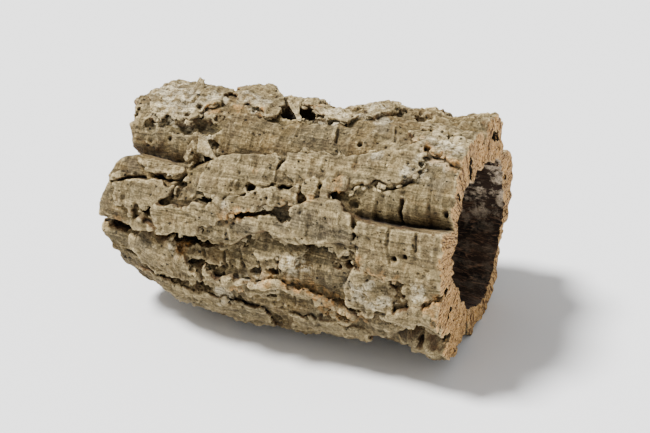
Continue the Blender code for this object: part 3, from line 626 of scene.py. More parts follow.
class Maps:
    """Maps over x (rows) and angle (columns) that hold the shape of the bark."""

    def __init__(self):
        self.x = np.arange(X_SPAN[0], X_SPAN[1] + CELL, CELL)
        self.angle = np.arange(MAP_COLUMNS) * 360.0 / MAP_COLUMNS
        self.grid_x = self.x[:, None] + 0 * self.angle[None, :]
        self.grid_angle = self.angle[None, :] + 0 * self.x[:, None]
        self.grid_turn = np.radians(self.grid_angle) * MEAN_RADIUS
        self.draw_skin()
        self.draw_plates()
        self.draw_openings()
        self.spots = {name: self.spot_map(spots) for name, spots in SPOTS.items()}

    def spot_map(self, spots):
        """Where the bark is tinted, from 0 to 1, with ragged edges."""
        tint = np.zeros(self.skin.shape)
        for place in spots:
            spot, away = self.round_spot(*place)
            away += SPOT_RAGGED * self.ragged[spot]
            tint[spot] = np.maximum(tint[spot], smooth((1 - away) / SPOT_BLUR + 0.5))
        return tint

    def at(self, table, x, angle):
        """Values of a map at places on the tube."""
        row = np.clip((x - self.x[0]) / CELL, 0, len(self.x) - 1.001)
        column = np.mod(angle, 360) * MAP_COLUMNS / 360
        i, j = row.astype(int), column.astype(int) % MAP_COLUMNS
        u, v = row - i, column - np.floor(column)
        k = (j + 1) % MAP_COLUMNS
        return ((1 - u) * ((1 - v) * table[i, j] + v * table[i, k])
                + u * ((1 - v) * table[i + 1, j] + v * table[i + 1, k]))

    def wave(self, seed, longest, shortest, stretch):
        """Seeded waves over the whole of the maps."""
        return waves(seed, longest, shortest, stretch, self.x, self.angle)

    def waved(self, rows):
        """Waves of several rows of roughness on top of each other."""
        return sum(height * self.wave(*wave) for *wave, height in rows)

    def add_waves(self, relief, share, rows):
        """Adds waves of several rows of roughness to a map, by a share that may be a map too."""
        for *wave, height in rows:
            relief += share * height * self.wave(*wave)

    def away(self, spot, x, angle):
        """Millimetres from one place on the tube."""
        return np.hypot(self.grid_x[spot] - x, gap(self.grid_angle[spot], angle))

    def round_spot(self, x, angle, radius):
        """The part of the maps round one place, and how many radii away it is there."""
        spot = window(((x, angle),), 2 * radius, self.x, self.angle)
        return spot, self.away(spot, x, angle) / radius

    def near(self, points, closed, reach):
        """The part of the maps round a path, and the distance to the path there."""
        spot = window(points, reach, self.x, self.angle)
        return spot, path_distance(points, closed, self.grid_x[spot], self.grid_angle[spot])

    def draw_skin(self):
        """The bark itself: crests, furrows, cracked plates, layers, ribs and growth lines."""
        core = radii(CREST_RADII, self.grid_x, self.grid_angle)
        for path in FURROWS.values():
            core -= furrow_depth(path, self.grid_x, self.grid_angle)
        bend = self.waved([CELL_BEND])
        self.ragged = self.waved(RAGGED)
        number, rim, _ = cells(CELL_SEED, CELL_LENGTH, CELL_WIDTH,
                               self.grid_x + bend + CELL_RAGGED[0] * self.ragged,
                               self.grid_turn + 0.6 * bend
                               + CELL_RAGGED[1] * np.roll(self.ragged, 40, axis=1))
        rough = 1 - FRONT_SHARE * smooth(gap(self.grid_angle, -20) / 20) * smooth(
            gap(150, self.grid_angle) / 20)
        for outline in CALM:
            spot, calm = self.near(outline, True, 2 * CALM_RIM)
            rough[spot] *= 1 - CALM_SHARE * smooth(calm / CALM_RIM + 0.5)
        self.rough = rough
        relief = rough * 0.5 * CELL_HEIGHT * number
        self.add_waves(relief, rough, SKIN_WAVES)
        layers = self.waved([LAYER_WAVES]) + LAYER_RAGGED * self.ragged
        relief += (0.15 + 0.85 * rough ** 2) * terraced(layers, TERRACE)
        self.add_waves(relief, 0.25 + 0.75 * rough, FINE_WAVES)
        self.add_waves(relief, 1.2 - 0.7 * rough, RIBS)
        self.lines = np.zeros(core.shape)
        for (x, angle), outline, spacing, height in FANS:
            spot, inside = self.near(outline, True, 2 * CALM_RIM)
            away = self.away(spot, x, angle)
            ring = np.sin(2 * math.pi * (away + 0.5 * bend[spot]) / spacing)
            self.lines[spot] += smooth(inside / CALM_RIM) * height * ring
        relief += self.lines
        cracks = CELL_CRACK_DEPTH * smooth(1 - rim / CELL_CRACK)
        self.core = core
        self.skin = core - SKIN_ALLOWANCE + relief - rough ** 2 * cracks

    def draw_plates(self):
        """Upper and lower sides of the loose plates, in two layers."""
        shape = self.skin.shape
        self.layers = [
            {"top": np.full(shape, 0.0), "under": np.full(shape, 500.0), "inside": np.full(shape, -9.0)}
            for _ in range(2)
        ]
        grain = self.waved([PLATE_GRAIN])
        fine = self.waved(PLATE_FINE)
        for layer, height, lift_low, lift_high, outline in PLATES.values():
            spot, inside = self.near(outline, True, PLATE_REACH)
            inside = inside + RAGGED_EDGE * self.ragged[spot]
            downhill = np.gradient(inside, axis=1) / (TURN / MAP_COLUMNS)
            lift = np.where(downhill < 0, lift_low, lift_high) * smooth(np.abs(downhill) * 1.5)
            raised = smooth(1 - inside / LIFT_REACH)
            base = self.core[spot] - SKIN_ALLOWANCE
            base = base + 0.5 * (self.skin[spot] - base)
            top = base + height + terraced(grain + 0.2 * self.ragged, PLATE_TERRACE)[spot] + fine[spot]
            top += self.lines[spot]
            top -= PLATE_RIM[0] * smooth(1 - inside / PLATE_RIM[1])
            under = np.minimum(base + lift, top - THINNEST_EDGE)
            under = base - PLATE_SINK + raised * (under - base + PLATE_SINK)
            target = self.layers[layer]
            better = inside > target["inside"][spot]
            for part, value in (("top", top), ("under", under), ("inside", inside)):
                target[part][spot] = np.where(better, value, target[part][spot])

    def draw_openings(self):
        """Worm holes, cracks and pores."""
        for x, angle, radius, depth in WORM_HOLES:
            spot, away = self.round_spot(x, angle, radius)
            self.carve(spot, depth * smooth(1.5 - away))
        for width, depth, path in CRACKS:
            spot, away = self.near(path, False, width + 3.0)
            away = away + CRACK_RAGGED * self.ragged[spot]
            self.carve(spot, depth * smooth(1.3 - 2 * away / width))
        number, _, middle = cells(PORE_SEED, PORE_SPACING, PORE_SPACING, self.grid_x, self.grid_turn)
        size = PORE_SIZES[0] + PORE_SIZES[1] * np.maximum(number - PORE_SHARE, 0) / 0.4
        pores = (number > PORE_SHARE) * smooth(1.4 - middle / size)
        self.carve(np.s_[:, :], PORE_DEPTH * pores * (0.5 + 0.5 * self.rough))

    def carve(self, spot, depth):
        """Lowers the bark and the plates on it."""
        self.skin[spot] -= depth
        for layer in self.layers:
            layer["top"][spot] -= depth


def grain_block(seed, size, longest, shortest):
    """Random relief in three dimensions that repeats every size cells, of unit strength."""
    draw = np.random.default_rng(seed)
    pitch = np.fft.fftfreq(size, CELL)
    half = np.fft.rfftfreq(size, CELL)
    k = np.sqrt(pitch[:, None, None] ** 2 + pitch[None, :, None] ** 2 + half[None, None, :] ** 2)
    kept = (k > 1 / longest) & (k < 1 / shortest)
    field = np.fft.rfftn(draw.normal(size=(size, size, size)))
    block = np.fft.irfftn(np.where(kept, field * np.maximum(k, 1e-6) ** GRAIN_FALL, 0), (size,) * 3)
    return (block / block.std()).astype(np.float32)


def solid_field(maps):
    """Distance to the bark's surface on the grid of cells, less than nothing inside it."""
    y = np.arange(*Y_SPAN, CELL)
    z = np.arange(*Z_SPAN, CELL)
    grid_y, grid_z = np.meshgrid(y, z - AXIS_HEIGHT, indexing="ij")
    radius = np.hypot(grid_y, grid_z)
    turn = np.degrees(np.arctan2(-grid_y, grid_z)) % 360
    used = np.flatnonzero((radius > RADIUS_SPAN[0]) & (radius < RADIUS_SPAN[1]))
    r = radius.ravel()[used]
    column = turn.ravel()[used] * MAP_COLUMNS / 360
    low = column.astype(int) % MAP_COLUMNS
    high = (low + 1) % MAP_COLUMNS
    share = (column - np.floor(column)).astype(np.float32)
    hollow = radii(HOLLOW_RADII, maps.grid_x, maps.grid_angle)
    mouth = smooth((maps.grid_x - MOUTH) / MOUTH_REACH)
    for row in HOLLOW_WAVES:
        maps.add_waves(hollow, 1 - MOUTH_CALM * mouth * (row[2] < MOUTH_CALMS_BELOW), [row])
    hollow = np.minimum(hollow, maps.core - THINNEST_WALL)
    maps.hollow = hollow
    left = wavy_edge(LEFT_EDGE, LEFT_WAVE, maps.angle)
    right = wavy_edge(RIGHT_EDGE, RIGHT_WAVE, maps.angle)
    worn = np.clip(1 - (maps.grid_x - left) / LEFT_ROUNDING, 0, 1)
    worn = LEFT_ROUNDING * LEFT_WORN * (1 - np.sqrt(1 - worn ** 2))
    sheets = [table for layer in maps.layers
              for table in (layer["top"] - worn, layer["under"] - worn, layer["inside"])]
    stack = np.stack([maps.skin - worn, hollow, *sheets, maps.rough]).astype(np.float32)
    ends = waves(*END_WAVE, 1.0, np.arange(0, HIGHEST, END_WAVE_STEP), maps.angle)
    end_row = np.clip((r / END_WAVE_STEP).astype(int), 0, ends.shape[0] - 1)
    end_wave = ends[end_row, low].astype(np.float32)
    left_at = (left[low] - END_FRAY[0] * end_wave).astype(np.float32)
    right_at = (right[low] + END_FRAY[1] * end_wave).astype(np.float32)
    block = grain_block(GRAIN_SEED, GRAIN_REPEAT, *GRAIN_WAVES)
    by, bz = (number.ravel()[used] % GRAIN_REPEAT for number in np.indices(radius.shape))
    field, plates, trimmed, lining = (
        np.full((len(maps.x), radius.size), BAND, np.float32) for _ in range(4))
    for i, x in enumerate(maps.x):
        rows = stack[:, i, :]
        values = rows[:, low] * (1 - share) + rows[:, high] * share
        skin, inner, *layers, rough = values
        grain = GRAIN * (0.2 + 0.8 * rough) * block[i % GRAIN_REPEAT][by, bz]
        plate = np.minimum(*(np.maximum(np.maximum(r - top, under - r), -inside)
                             for top, under, inside in (layers[:3], layers[3:])))
        ends_and_hollow = np.maximum(inner - r, np.maximum(x - right_at, left_at - x))
        field[i, used] = np.clip(r - skin + grain, -BAND, BAND)
        plates[i, used] = np.clip(plate + grain, -BAND, BAND)
        trimmed[i, used] = np.clip(ends_and_hollow, -BAND, BAND)
        lining[i, used] = np.clip(r - inner - LINING, -BAND, BAND)
    size = (len(maps.x), len(y), len(z))
    field = field.reshape(size)
    shape_in_three(field, maps, y, z, block, LUMPS, -1)
    shape_in_three(field, maps, y, z, block, POCKETS, 1)
    np.minimum(field, plates.reshape(size), out=field)
    shape_in_three(field, maps, y, z, block, TOP_POCKETS, 1)
    np.minimum(field, lining.reshape(size), out=field)
    np.maximum(field, trimmed.reshape(size), out=field)
    shape_in_three(field, maps, y, z, block, end_pockets(maps), 1)
    floor = np.clip(-z, -BAND, BAND).astype(np.float32)
    np.maximum(field, floor[None, None, :], out=field)
    return field, (maps.x[0], y[0], z[0])


def end_pockets(maps):
    """The holes in the sawn end, laid out like the other pockets."""
    for angle, radius, half_turn, half_across, half_in in END_POCKETS:
        x = float(edge(RIGHT_EDGE, angle))
        sunk = float(maps.at(maps.core, np.array([x]), np.array([angle]))[0]) - radius
        yield x, angle, sunk, half_in, half_turn, half_across


def shape_in_three(field, maps, y, z, block, items, sign):
    """Cuts pockets out of the solid where sign is 1, or adds lumps to it where sign is -1."""
    for x, angle, sunk, half_x, half_turn, half_in in items:
        i = min(max(int(round((x - maps.x[0]) / CELL)), 0), len(maps.x) - 1)
        j = int(round((angle % 360) * MAP_COLUMNS / 360)) % MAP_COLUMNS
        r = maps.core[i, j] - sunk
        turn = math.radians(angle)
        cy, cz = -r * math.sin(turn), AXIS_HEIGHT + r * math.cos(turn)
        reach = 1.4 * max(half_x, half_turn, half_in) + 3
        ix = slice(*np.searchsorted(maps.x, (x - reach, x + reach)))
        iy = slice(*np.searchsorted(y, (cy - reach, cy + reach)))
        iz = slice(*np.searchsorted(z, (cz - reach, cz + reach)))
        dx = (maps.x[ix] - x)[:, None, None]
        dy = (y[iy] - cy)[None, :, None]
        dz = (z[iz] - cz)[None, None, :]
        out = -dy * math.sin(turn) + dz * math.cos(turn)
        across = -dy * math.cos(turn) - dz * math.sin(turn)
        size = np.sqrt((dx / half_x) ** 2 + (across / half_turn) ** 2 + (out / half_in) ** 2)
        grain = block[np.ix_(*(np.arange(span.start, span.stop) % GRAIN_REPEAT for span in (ix, iy, iz)))]
        away = (size - 1) * min(half_x, half_turn, half_in)
        away = np.clip(away + POCKET_ROUGHNESS * grain, -BAND, BAND)
        part = field[ix, iy, iz]
        field[ix, iy, iz] = np.minimum(part, away) if sign < 0 else np.maximum(part, -away)


def blurred(field):
    """The field with each cell mixed with its neighbours, to smooth the steps between cells."""
    for axis in range(3):
        before, after, middle = ([slice(None)] * 3 for _ in range(3))
        before[axis], middle[axis], after[axis] = slice(0, -2), slice(1, -1), slice(2, None)
        part = SOFTEN * (field[tuple(before)] + field[tuple(after)])
        field[tuple(middle)] = part + (1 - 2 * SOFTEN) * field[tuple(middle)]
    return field


def largest_body(count, quads):
    """Which points belong to the largest connected surface."""
    label = np.arange(count)
    edges = np.vstack([quads[:, [0, 1]], quads[:, [1, 2]], quads[:, [2, 3]]])
    while True:
        lower = np.minimum(label[edges[:, 0]], label[edges[:, 1]])
        before = label.copy()
        np.minimum.at(label, edges[:, 0], lower)
        np.minimum.at(label, edges[:, 1], lower)
        label = label[label]
        if np.array_equal(before, label):
            break
    names, sizes = np.unique(label, return_counts=True)
    return label == names[np.argmax(sizes)]


def read(items, name, width=1, kind=np.float32):
    """The values of one kind that a mesh keeps, a row for each item where width is over 1."""
    values = np.empty(width * len(items), kind)
    items.foreach_get(name, values)
    return values.reshape(-1, width) if width > 1 else values


def keep(mesh, name, values):
    """Keeps a value or a vector for each point of the mesh, for the materials."""
    kind, part = ("FLOAT_VECTOR", "vector") if values.ndim > 1 else ("FLOAT", "value")
    layer = mesh.attributes.new(name, kind, "POINT")
    layer.data.foreach_set(part, values.astype(np.float32).ravel())


def placed(mesh):
    """A new object in the scene that shows the mesh."""
    made = bpy.data.objects.new(mesh.name, mesh)
    bpy.context.scene.collection.objects.link(made)
    return made


def mesh_of(name, points, faces):
    """A mesh from arrays of points and of faces, which all have as many corners."""
    mesh = bpy.data.meshes.new(name)
    mesh.vertices.add(len(points))
    mesh.vertices.foreach_set("co", points.astype(np.float32).ravel())
    mesh.loops.add(faces.size)
    mesh.loops.foreach_set("vertex_index", faces.astype(np.int32).ravel())
    mesh.polygons.add(len(faces))
    starts = np.arange(0, faces.size, faces.shape[1], dtype=np.int32)
    mesh.polygons.foreach_set("loop_start", starts)
    mesh.update(calc_edges=True)
    return mesh


def crowding(field, reach):
    """Share of bark in the cells round each cell: about a half on a flat face, more in a hole."""
    share = (field < 0).astype(np.float32)
    span = int(round(reach / CELL))
    for axis in (0, 1, 2, 0, 1, 2):
        pad = [(0, 0)] * 3
        pad[axis] = (span + 1, span)
        total = np.cumsum(np.pad(share, pad), axis=axis, dtype=np.float64)
        high, low = [slice(None)] * 3, [slice(None)] * 3
        high[axis], low[axis] = slice(2 * span + 1, None), slice(0, -2 * span - 1)
        share = ((total[tuple(high)] - total[tuple(low)]) / (2 * span + 1)).astype(np.float32)
    return share


def bark_object(maps):
    """The whole tube as one closed mesh."""
    field, start = solid_field(maps)
    near = crowding(field, CROWD_NEAR)
    wide = crowding(field, CROWD_WIDE)
    grid = openvdb.FloatGrid(BAND)
    grid.copyFromArray(np.ascontiguousarray(blurred(field)))
    points, _, quads = grid.convertToPolygons(isovalue=0.0, adaptivity=0.0)
    kept = largest_body(len(points), quads)
    quads = quads[kept[quads[:, 0]]]
    number = np.cumsum(kept) - 1
    points = points[kept] * CELL + np.array(start)
    points = (points - SHIFT) * MM
    mesh = mesh_of("cork_bark", points, number[quads])
    bark = placed(mesh)
    thin = bark.modifiers.new("thin", "DECIMATE")
    thin.ratio = TRIANGLES / (2 * len(quads))
    thin.use_collapse_triangulate = True
    shown = bark.evaluated_get(bpy.context.evaluated_depsgraph_get())
    bark.data = bpy.data.meshes.new_from_object(shown)
    bark.modifiers.clear()
    bpy.data.meshes.remove(mesh)
    mark_surface(bark.data, maps, near, wide, start)
    return bark


def sheet(corners, bulge, thickness, steps, seed):
    """Points and faces of a thin bent flake with ragged edges, from corners in space."""
    draw = np.random.default_rng(seed)
    corners = np.array(corners, float)
    u, v = np.meshgrid(np.linspace(0, 1, steps + 1), np.linspace(0, 1, steps + 1), indexing="ij")
    rim = np.minimum(np.minimum(u, 1 - u), np.minimum(v, 1 - v))
    span = np.linalg.norm(corners[2] - corners[0])
    wander = draw.normal(size=(2, steps + 1, steps + 1)) * FLAKE_RAGGED / steps * (rim < 0.5 / steps)
    u, v = u + wander[0], v + wander[1]
    first = corners[0] + u[..., None] * (corners[1] - corners[0])
    last = corners[3] + u[..., None] * (corners[2] - corners[3])
    middle = first + v[..., None] * (last - first)
    out = np.cross(corners[1] - corners[0], corners[3] - corners[0])
    out /= np.linalg.norm(out)
    arch = bulge * (1 - (2 * u - 1) ** 2) + 0.02 * span * np.sin(5 * v + 3 * u + seed)
    half = 0.5 * thickness * (0.35 + 0.65 * smooth(4 * rim))
    upper = middle + (arch + half)[..., None] * out
    lower = middle + (arch - half)[..., None] * out
    points = np.concatenate([upper.reshape(-1, 3), lower.reshape(-1, 3)])
    number = np.arange((steps + 1) ** 2).reshape(steps + 1, steps + 1)
    quads = np.stack([number[:-1, :-1], number[1:, :-1], number[1:, 1:], number[:-1, 1:]], axis=-1)
    quads = quads.reshape(-1, 4)
    border = np.concatenate([number[:, 0], number[-1, 1:], number[-2::-1, -1], number[0, -2:0:-1]])
    after = np.roll(border, -1)
    far = number.size
    sides = np.stack([border, border + far, after + far, after], axis=-1)
    return points, np.concatenate([quads, quads[:, ::-1] + far, sides])


def in_space(x, angle, radius):
    """Places on the tube as points in space, in millimetres."""
    turn = np.radians(angle)
    return np.stack([x - CENTRE[0], -radius * np.sin(turn) - CENTRE[1],
                     AXIS_HEIGHT + radius * np.cos(turn)], axis=-1)


def flakes_object(maps):
    """All loose flakes, and small chips along the edges of the plates."""
    parts = []
    for seed, (corners, bulge, thickness) in enumerate(FLAKES):
        x, angle, height = np.array(corners, float).T
        radius = radii(CREST_RADII, x, angle) + height
        parts.append(sheet(in_space(x, angle, radius), bulge, thickness, FLAKE_STEPS, seed))
    draw = np.random.default_rng(CHIP_SEED)
    for layer, height, _, _, outline in PLATES.values():
        spots = np.array(outline, float)
        places = np.stack([spots[:, 0], np.radians(spots[:, 1]) * MEAN_RADIUS], axis=1)
        later = np.roll(places, -1, axis=0)
        turned = np.sum(places[:, 0] * later[:, 1] - later[:, 0] * places[:, 1])
        for a, b in zip(places, later):
            ahead = b - a
            length = np.hypot(*ahead)
            outward = np.array([ahead[1], -ahead[0]]) / length * np.sign(turned)
            in_view = CHIP_ANGLES[0] < np.degrees(a[1] / MEAN_RADIUS) < CHIP_ANGLES[1]
            downhill = outward[1] > LEAST_DOWNHILL and in_view
            for _ in range(int(length / CHIP_SPACING + draw.uniform()) if downhill else 0):
                middle = a + draw.uniform() * ahead
                width, reach = draw.uniform(*CHIP_WIDTHS), draw.uniform(*CHIP_REACHES)
                slant = draw.uniform(-1.0, 1.0)
                rise = draw.uniform(*CHIP_RISES)
                side = ahead / length * width
                foot = middle - CHIP_FOOT * outward
                tip = middle + reach * outward + slant * ahead / length
                flat = np.array([foot - side, foot + side, tip + CHIP_TIP * side, tip - CHIP_TIP * side])
                angle = np.degrees(flat[:, 1] / MEAN_RADIUS)
                base = maps.at(maps.layers[layer]["top"], flat[:2, 0], angle[:2]).min()
                if base < LEAST_RADIUS or flat[:, 0].max() > CHIP_LIMIT:
                    continue
                radius = base + np.array([-CHIP_SINK, -CHIP_SINK, rise, rise])
                bulge = draw.uniform(-CHIP_BULGE, CHIP_BULGE)
                parts.append(sheet(in_space(flat[:, 0], angle, radius), bulge, CHIP_THICKNESS,
                                   CHIP_STEPS, len(parts)))
    points = np.concatenate([p for p, _ in parts]) * MM
    start = np.cumsum([0] + [len(p) for p, _ in parts[:-1]])
    mesh = mesh_of("bark_flakes", points, np.concatenate([f + n for (_, f), n in zip(parts, start)]))
    flakes = placed(mesh)
    place = points / MM + np.array([CENTRE[0], CENTRE[1], -AXIS_HEIGHT])
    angle = np.degrees(np.arctan2(-place[:, 1], place[:, 2])) % 360
    for name, value in (("crowd_near", FLAKE_CROWDING), ("crowd_wide", FLAKE_CROWDING), *FLAKE_MARKS):
        keep(mesh, name, np.full(len(points), value))
    keep(mesh, "orange", maps.at(maps.spots["orange"], place[:, 0], angle))
    keep(mesh, "along", along_tube(place[:, 0], angle))
    mesh.shade_smooth()
    return flakes


def shared_out(bark):
    """The mesh as a few pieces side by side round the tube, which meet at the same points."""
    mesh = bark.data
    middles = read(mesh.polygons, "center", 3)
    order = np.argsort(np.arctan2(middles[:, 1], middles[:, 2] - AXIS_HEIGHT * MM), kind="stable")
    corners = read(mesh.loops, "vertex_index", kind=np.int32).reshape(-1, 3)
    kind = read(mesh.polygons, "material_index", kind=np.int32)
    points = read(mesh.vertices, "co", 3)
    normals = read(mesh.vertex_normals, "vector", 3)
    for number, chosen in enumerate(np.array_split(order, SHARES), 1):
        chosen = np.sort(chosen)
        used, faces = np.unique(corners[chosen], return_inverse=True)
        part = mesh_of(f"cork_bark_{number}", points[used], faces.reshape(-1, 3))
        part.polygons.foreach_set("material_index", kind[chosen])
        for layer in mesh.attributes:
            if layer.domain != "POINT" or layer.name == "position" or layer.name.startswith("."):
                continue
            field, width = ("vector", 3) if layer.data_type == "FLOAT_VECTOR" else ("value", 1)
            keep(part, layer.name, read(layer.data, field, width)[used])
        part.shade_smooth()
        part.normals_split_custom_set_from_vertices(normals[used])
        yield placed(part)
    bpy.data.objects.remove(bark)
    bpy.data.meshes.remove(mesh)


def mark_surface(mesh, maps, near, wide, start):
    """Keeps on the mesh what the materials need, and says which material each face has."""
    points = read(mesh.vertices, "co", 3) / MM + SHIFT
    normals = read(mesh.vertex_normals, "vector", 3)
    x, y, z = points[:, 0], points[:, 1], points[:, 2] - AXIS_HEIGHT
    radius = np.hypot(y, z)
    angle = np.degrees(np.arctan2(-y, z)) % 360
    outward = (normals[:, 1] * y + normals[:, 2] * z) / radius
    cell = np.round((points - np.array(start)) / CELL).astype(int)
    cell = tuple(np.clip(cell[:, k], 0, near.shape[k] - 1) for k in range(3))
    values = {
        "crowd_near": near[cell],
        "crowd_wide": wide[cell],
        "sunk": maps.at(maps.core, x, angle) - radius,
        "riser": np.clip(1 - outward, 0, 1),
        "rough": maps.at(maps.rough, x, angle),
        "worn": smooth((0.5 * STATION_FIRST - x) / STATION_GAP + 0.5),
    }
    values["plate"] = np.zeros(len(points))
    for layer in maps.layers:
        high = radius > maps.at(layer["top"], x, angle) - PLATE_SKIN
        inside = maps.at(layer["inside"], x, angle) > PLATE_MARGIN
        values["plate"] = np.maximum(values["plate"], high & inside)
    values.update((name, maps.at(table, x, angle)) for name, table in maps.spots.items())
    for name, value in values.items():
        keep(mesh, name, value)
    keep(mesh, "along", along_tube(x, angle))
    corners = read(mesh.loops, "vertex_index", kind=np.int32).reshape(-1, 3)
    facing = read(mesh.polygon_normals, "vector", 3)[:, 0]
    inner = (radius < maps.at(maps.hollow, x, angle) + HOLLOW_SKIN)[corners].sum(axis=1) > 1
    at_left = (x < edge(LEFT_EDGE, angle) + SAWN_REACH[0])[corners].all(axis=1)
    at_right = (x > edge(RIGHT_EDGE, angle) - SAWN_REACH[1])[corners].all(axis=1)
    at_end = (at_left & (facing < -SAWN_FACING[0])) | (at_right & (facing > SAWN_FACING[1]))
    kind = np.where(at_end, SAWN, np.where(inner, HOLLOW, BARK))
    mesh.polygons.foreach_set("material_index", kind.astype(np.int32))


class Paint:
    """A material built out of nodes, a step at a time."""

    def __init__(self, name, roughness, colour):
        self.colour = colour
        self.material = bpy.data.materials.new(name)
        self.material.use_nodes = True
        self.tree = self.material.node_tree
        self.shader = self.tree.nodes["Principled BSDF"]
        self.shader.inputs["Roughness"].default_value = roughness
        self.shader.inputs["Specular IOR Level"].default_value = 0.25

    def node(self, kind, inputs=(), **settings):
        made = self.tree.nodes.new(kind)
        for key, value in settings.items():
            setattr(made, key, value)
        for key, value in dict(inputs).items():
            if isinstance(value, bpy.types.NodeSocket):
                self.tree.links.new(value, made.inputs[key])
            else:
                made.inputs[key].default_value = value
        return made

    def value(self, name):
        """A value that the mesh keeps for each point."""
        return self.node("ShaderNodeAttribute", attribute_name=name).outputs["Fac"]

    def place(self, name, scale):
        """The place on the surface, in millimetres over the scale for each direction."""
        if name == "object":
            place = self.node("ShaderNodeTexCoord").outputs["Object"]
            scale = [1000.0 / s for s in scale]
        else:
            place = self.node("ShaderNodeAttribute", attribute_name=name).outputs["Vector"]
            scale = [1.0 / s for s in scale]
        return self.node("ShaderNodeVectorMath", {0: place, 1: scale}, operation="MULTIPLY").outputs[0]

    def height(self):
        """The height of the place on the surface, in millimetres."""
        return self.node("ShaderNodeSeparateXYZ", {0: self.place("object", (1.0, 1.0, 1.0))}).outputs[2]

    def noise(self, name, scale, detail=4.0, roughness=0.55, distortion=0.0):
        made = self.node("ShaderNodeTexNoise", {
            "Vector": self.place(name, scale), "Scale": 1.0, "Detail": detail,
            "Roughness": roughness, "Distortion": distortion})
        return made.outputs["Fac"]

    def noises(self, rows):
        """One noise for each row: what it follows, its scale in millimetres, and its settings."""
        return [self.noise(*row) for row in rows]

    def dots(self, scale, size, ragged):
        """Ragged spots of the size given, one for each cell of the scale, some left out."""
        made = self.node("ShaderNodeTexVoronoi", {"Vector": self.place("object", scale), "Scale": 1.0})
        chance = self.node("ShaderNodeSeparateColor", {0: made.outputs["Color"]}).outputs[0]
        limit = self.times(self.ranged(chance, 0.45, 1.0, 0.0, 1.0), size)
        away = self.plus(made.outputs["Distance"], self.ranged(ragged, 0.3, 0.7, -0.16, 0.16))
        return self.ranged(self.less(limit, away), 0.0, 0.08)

    def math(self, operation, a, b):
        return self.node("ShaderNodeMath", {0: a, 1: b}, operation=operation).outputs[0]

    def times(self, a, b):
        return self.math("MULTIPLY", a, b)

    def plus(self, a, b):
        return self.math("ADD", a, b)

    def less(self, a, b):
        return self.math("SUBTRACT", a, b)

    def most(self, a, b):
        return self.math("MAXIMUM", a, b)

    def ranged(self, value, low, high, to_low=0.0, to_high=1.0):
        made = self.node("ShaderNodeMapRange", {"Value": value, "From Min": low, "From Max": high,
                                                "To Min": to_low, "To Max": to_high})
        return made.outputs[0]

    def shaded(self, shade, rows):
        """The shade times each value of the rows, which bring it into a range."""
        for row in rows:
            shade = self.times(shade, self.ranged(*row))
        return shade

    def piled(self, rows):
        """The sum of the values of the rows, brought into their ranges."""
        total, *more = [self.ranged(*row) for row in rows]
        for height in more:
            total = self.plus(total, height)
        return total

    def lay(self, share, above, blend="MIX"):
        """Lays a colour over the one so far, by the share given."""
        made = self.node("ShaderNodeMix", data_type="RGBA", blend_type=blend)
        rows = ((made.inputs[0], share), (made.inputs[6], self.colour), (made.inputs[7], above))
        self.colour = made.outputs[2]
        for socket, value in rows:
            if isinstance(value, bpy.types.NodeSocket):
                self.tree.links.new(value, socket)
            elif isinstance(value, tuple):
                socket.default_value = (*value, 1.0)
            else:
                socket.default_value = value

    def bump(self, height, size, strength=1.0):
        """Fine relief: height from 0 to 1 stands for the size given, in millimetres."""
        made = self.node("ShaderNodeBump", {"Height": height, "Strength": strength,
                                            "Distance": size * MM})
        self.tree.links.new(made.outputs[0], self.shader.inputs["Normal"])

    def finish(self):
        self.tree.links.new(self.colour, self.shader.inputs["Base Color"])
        return self.material


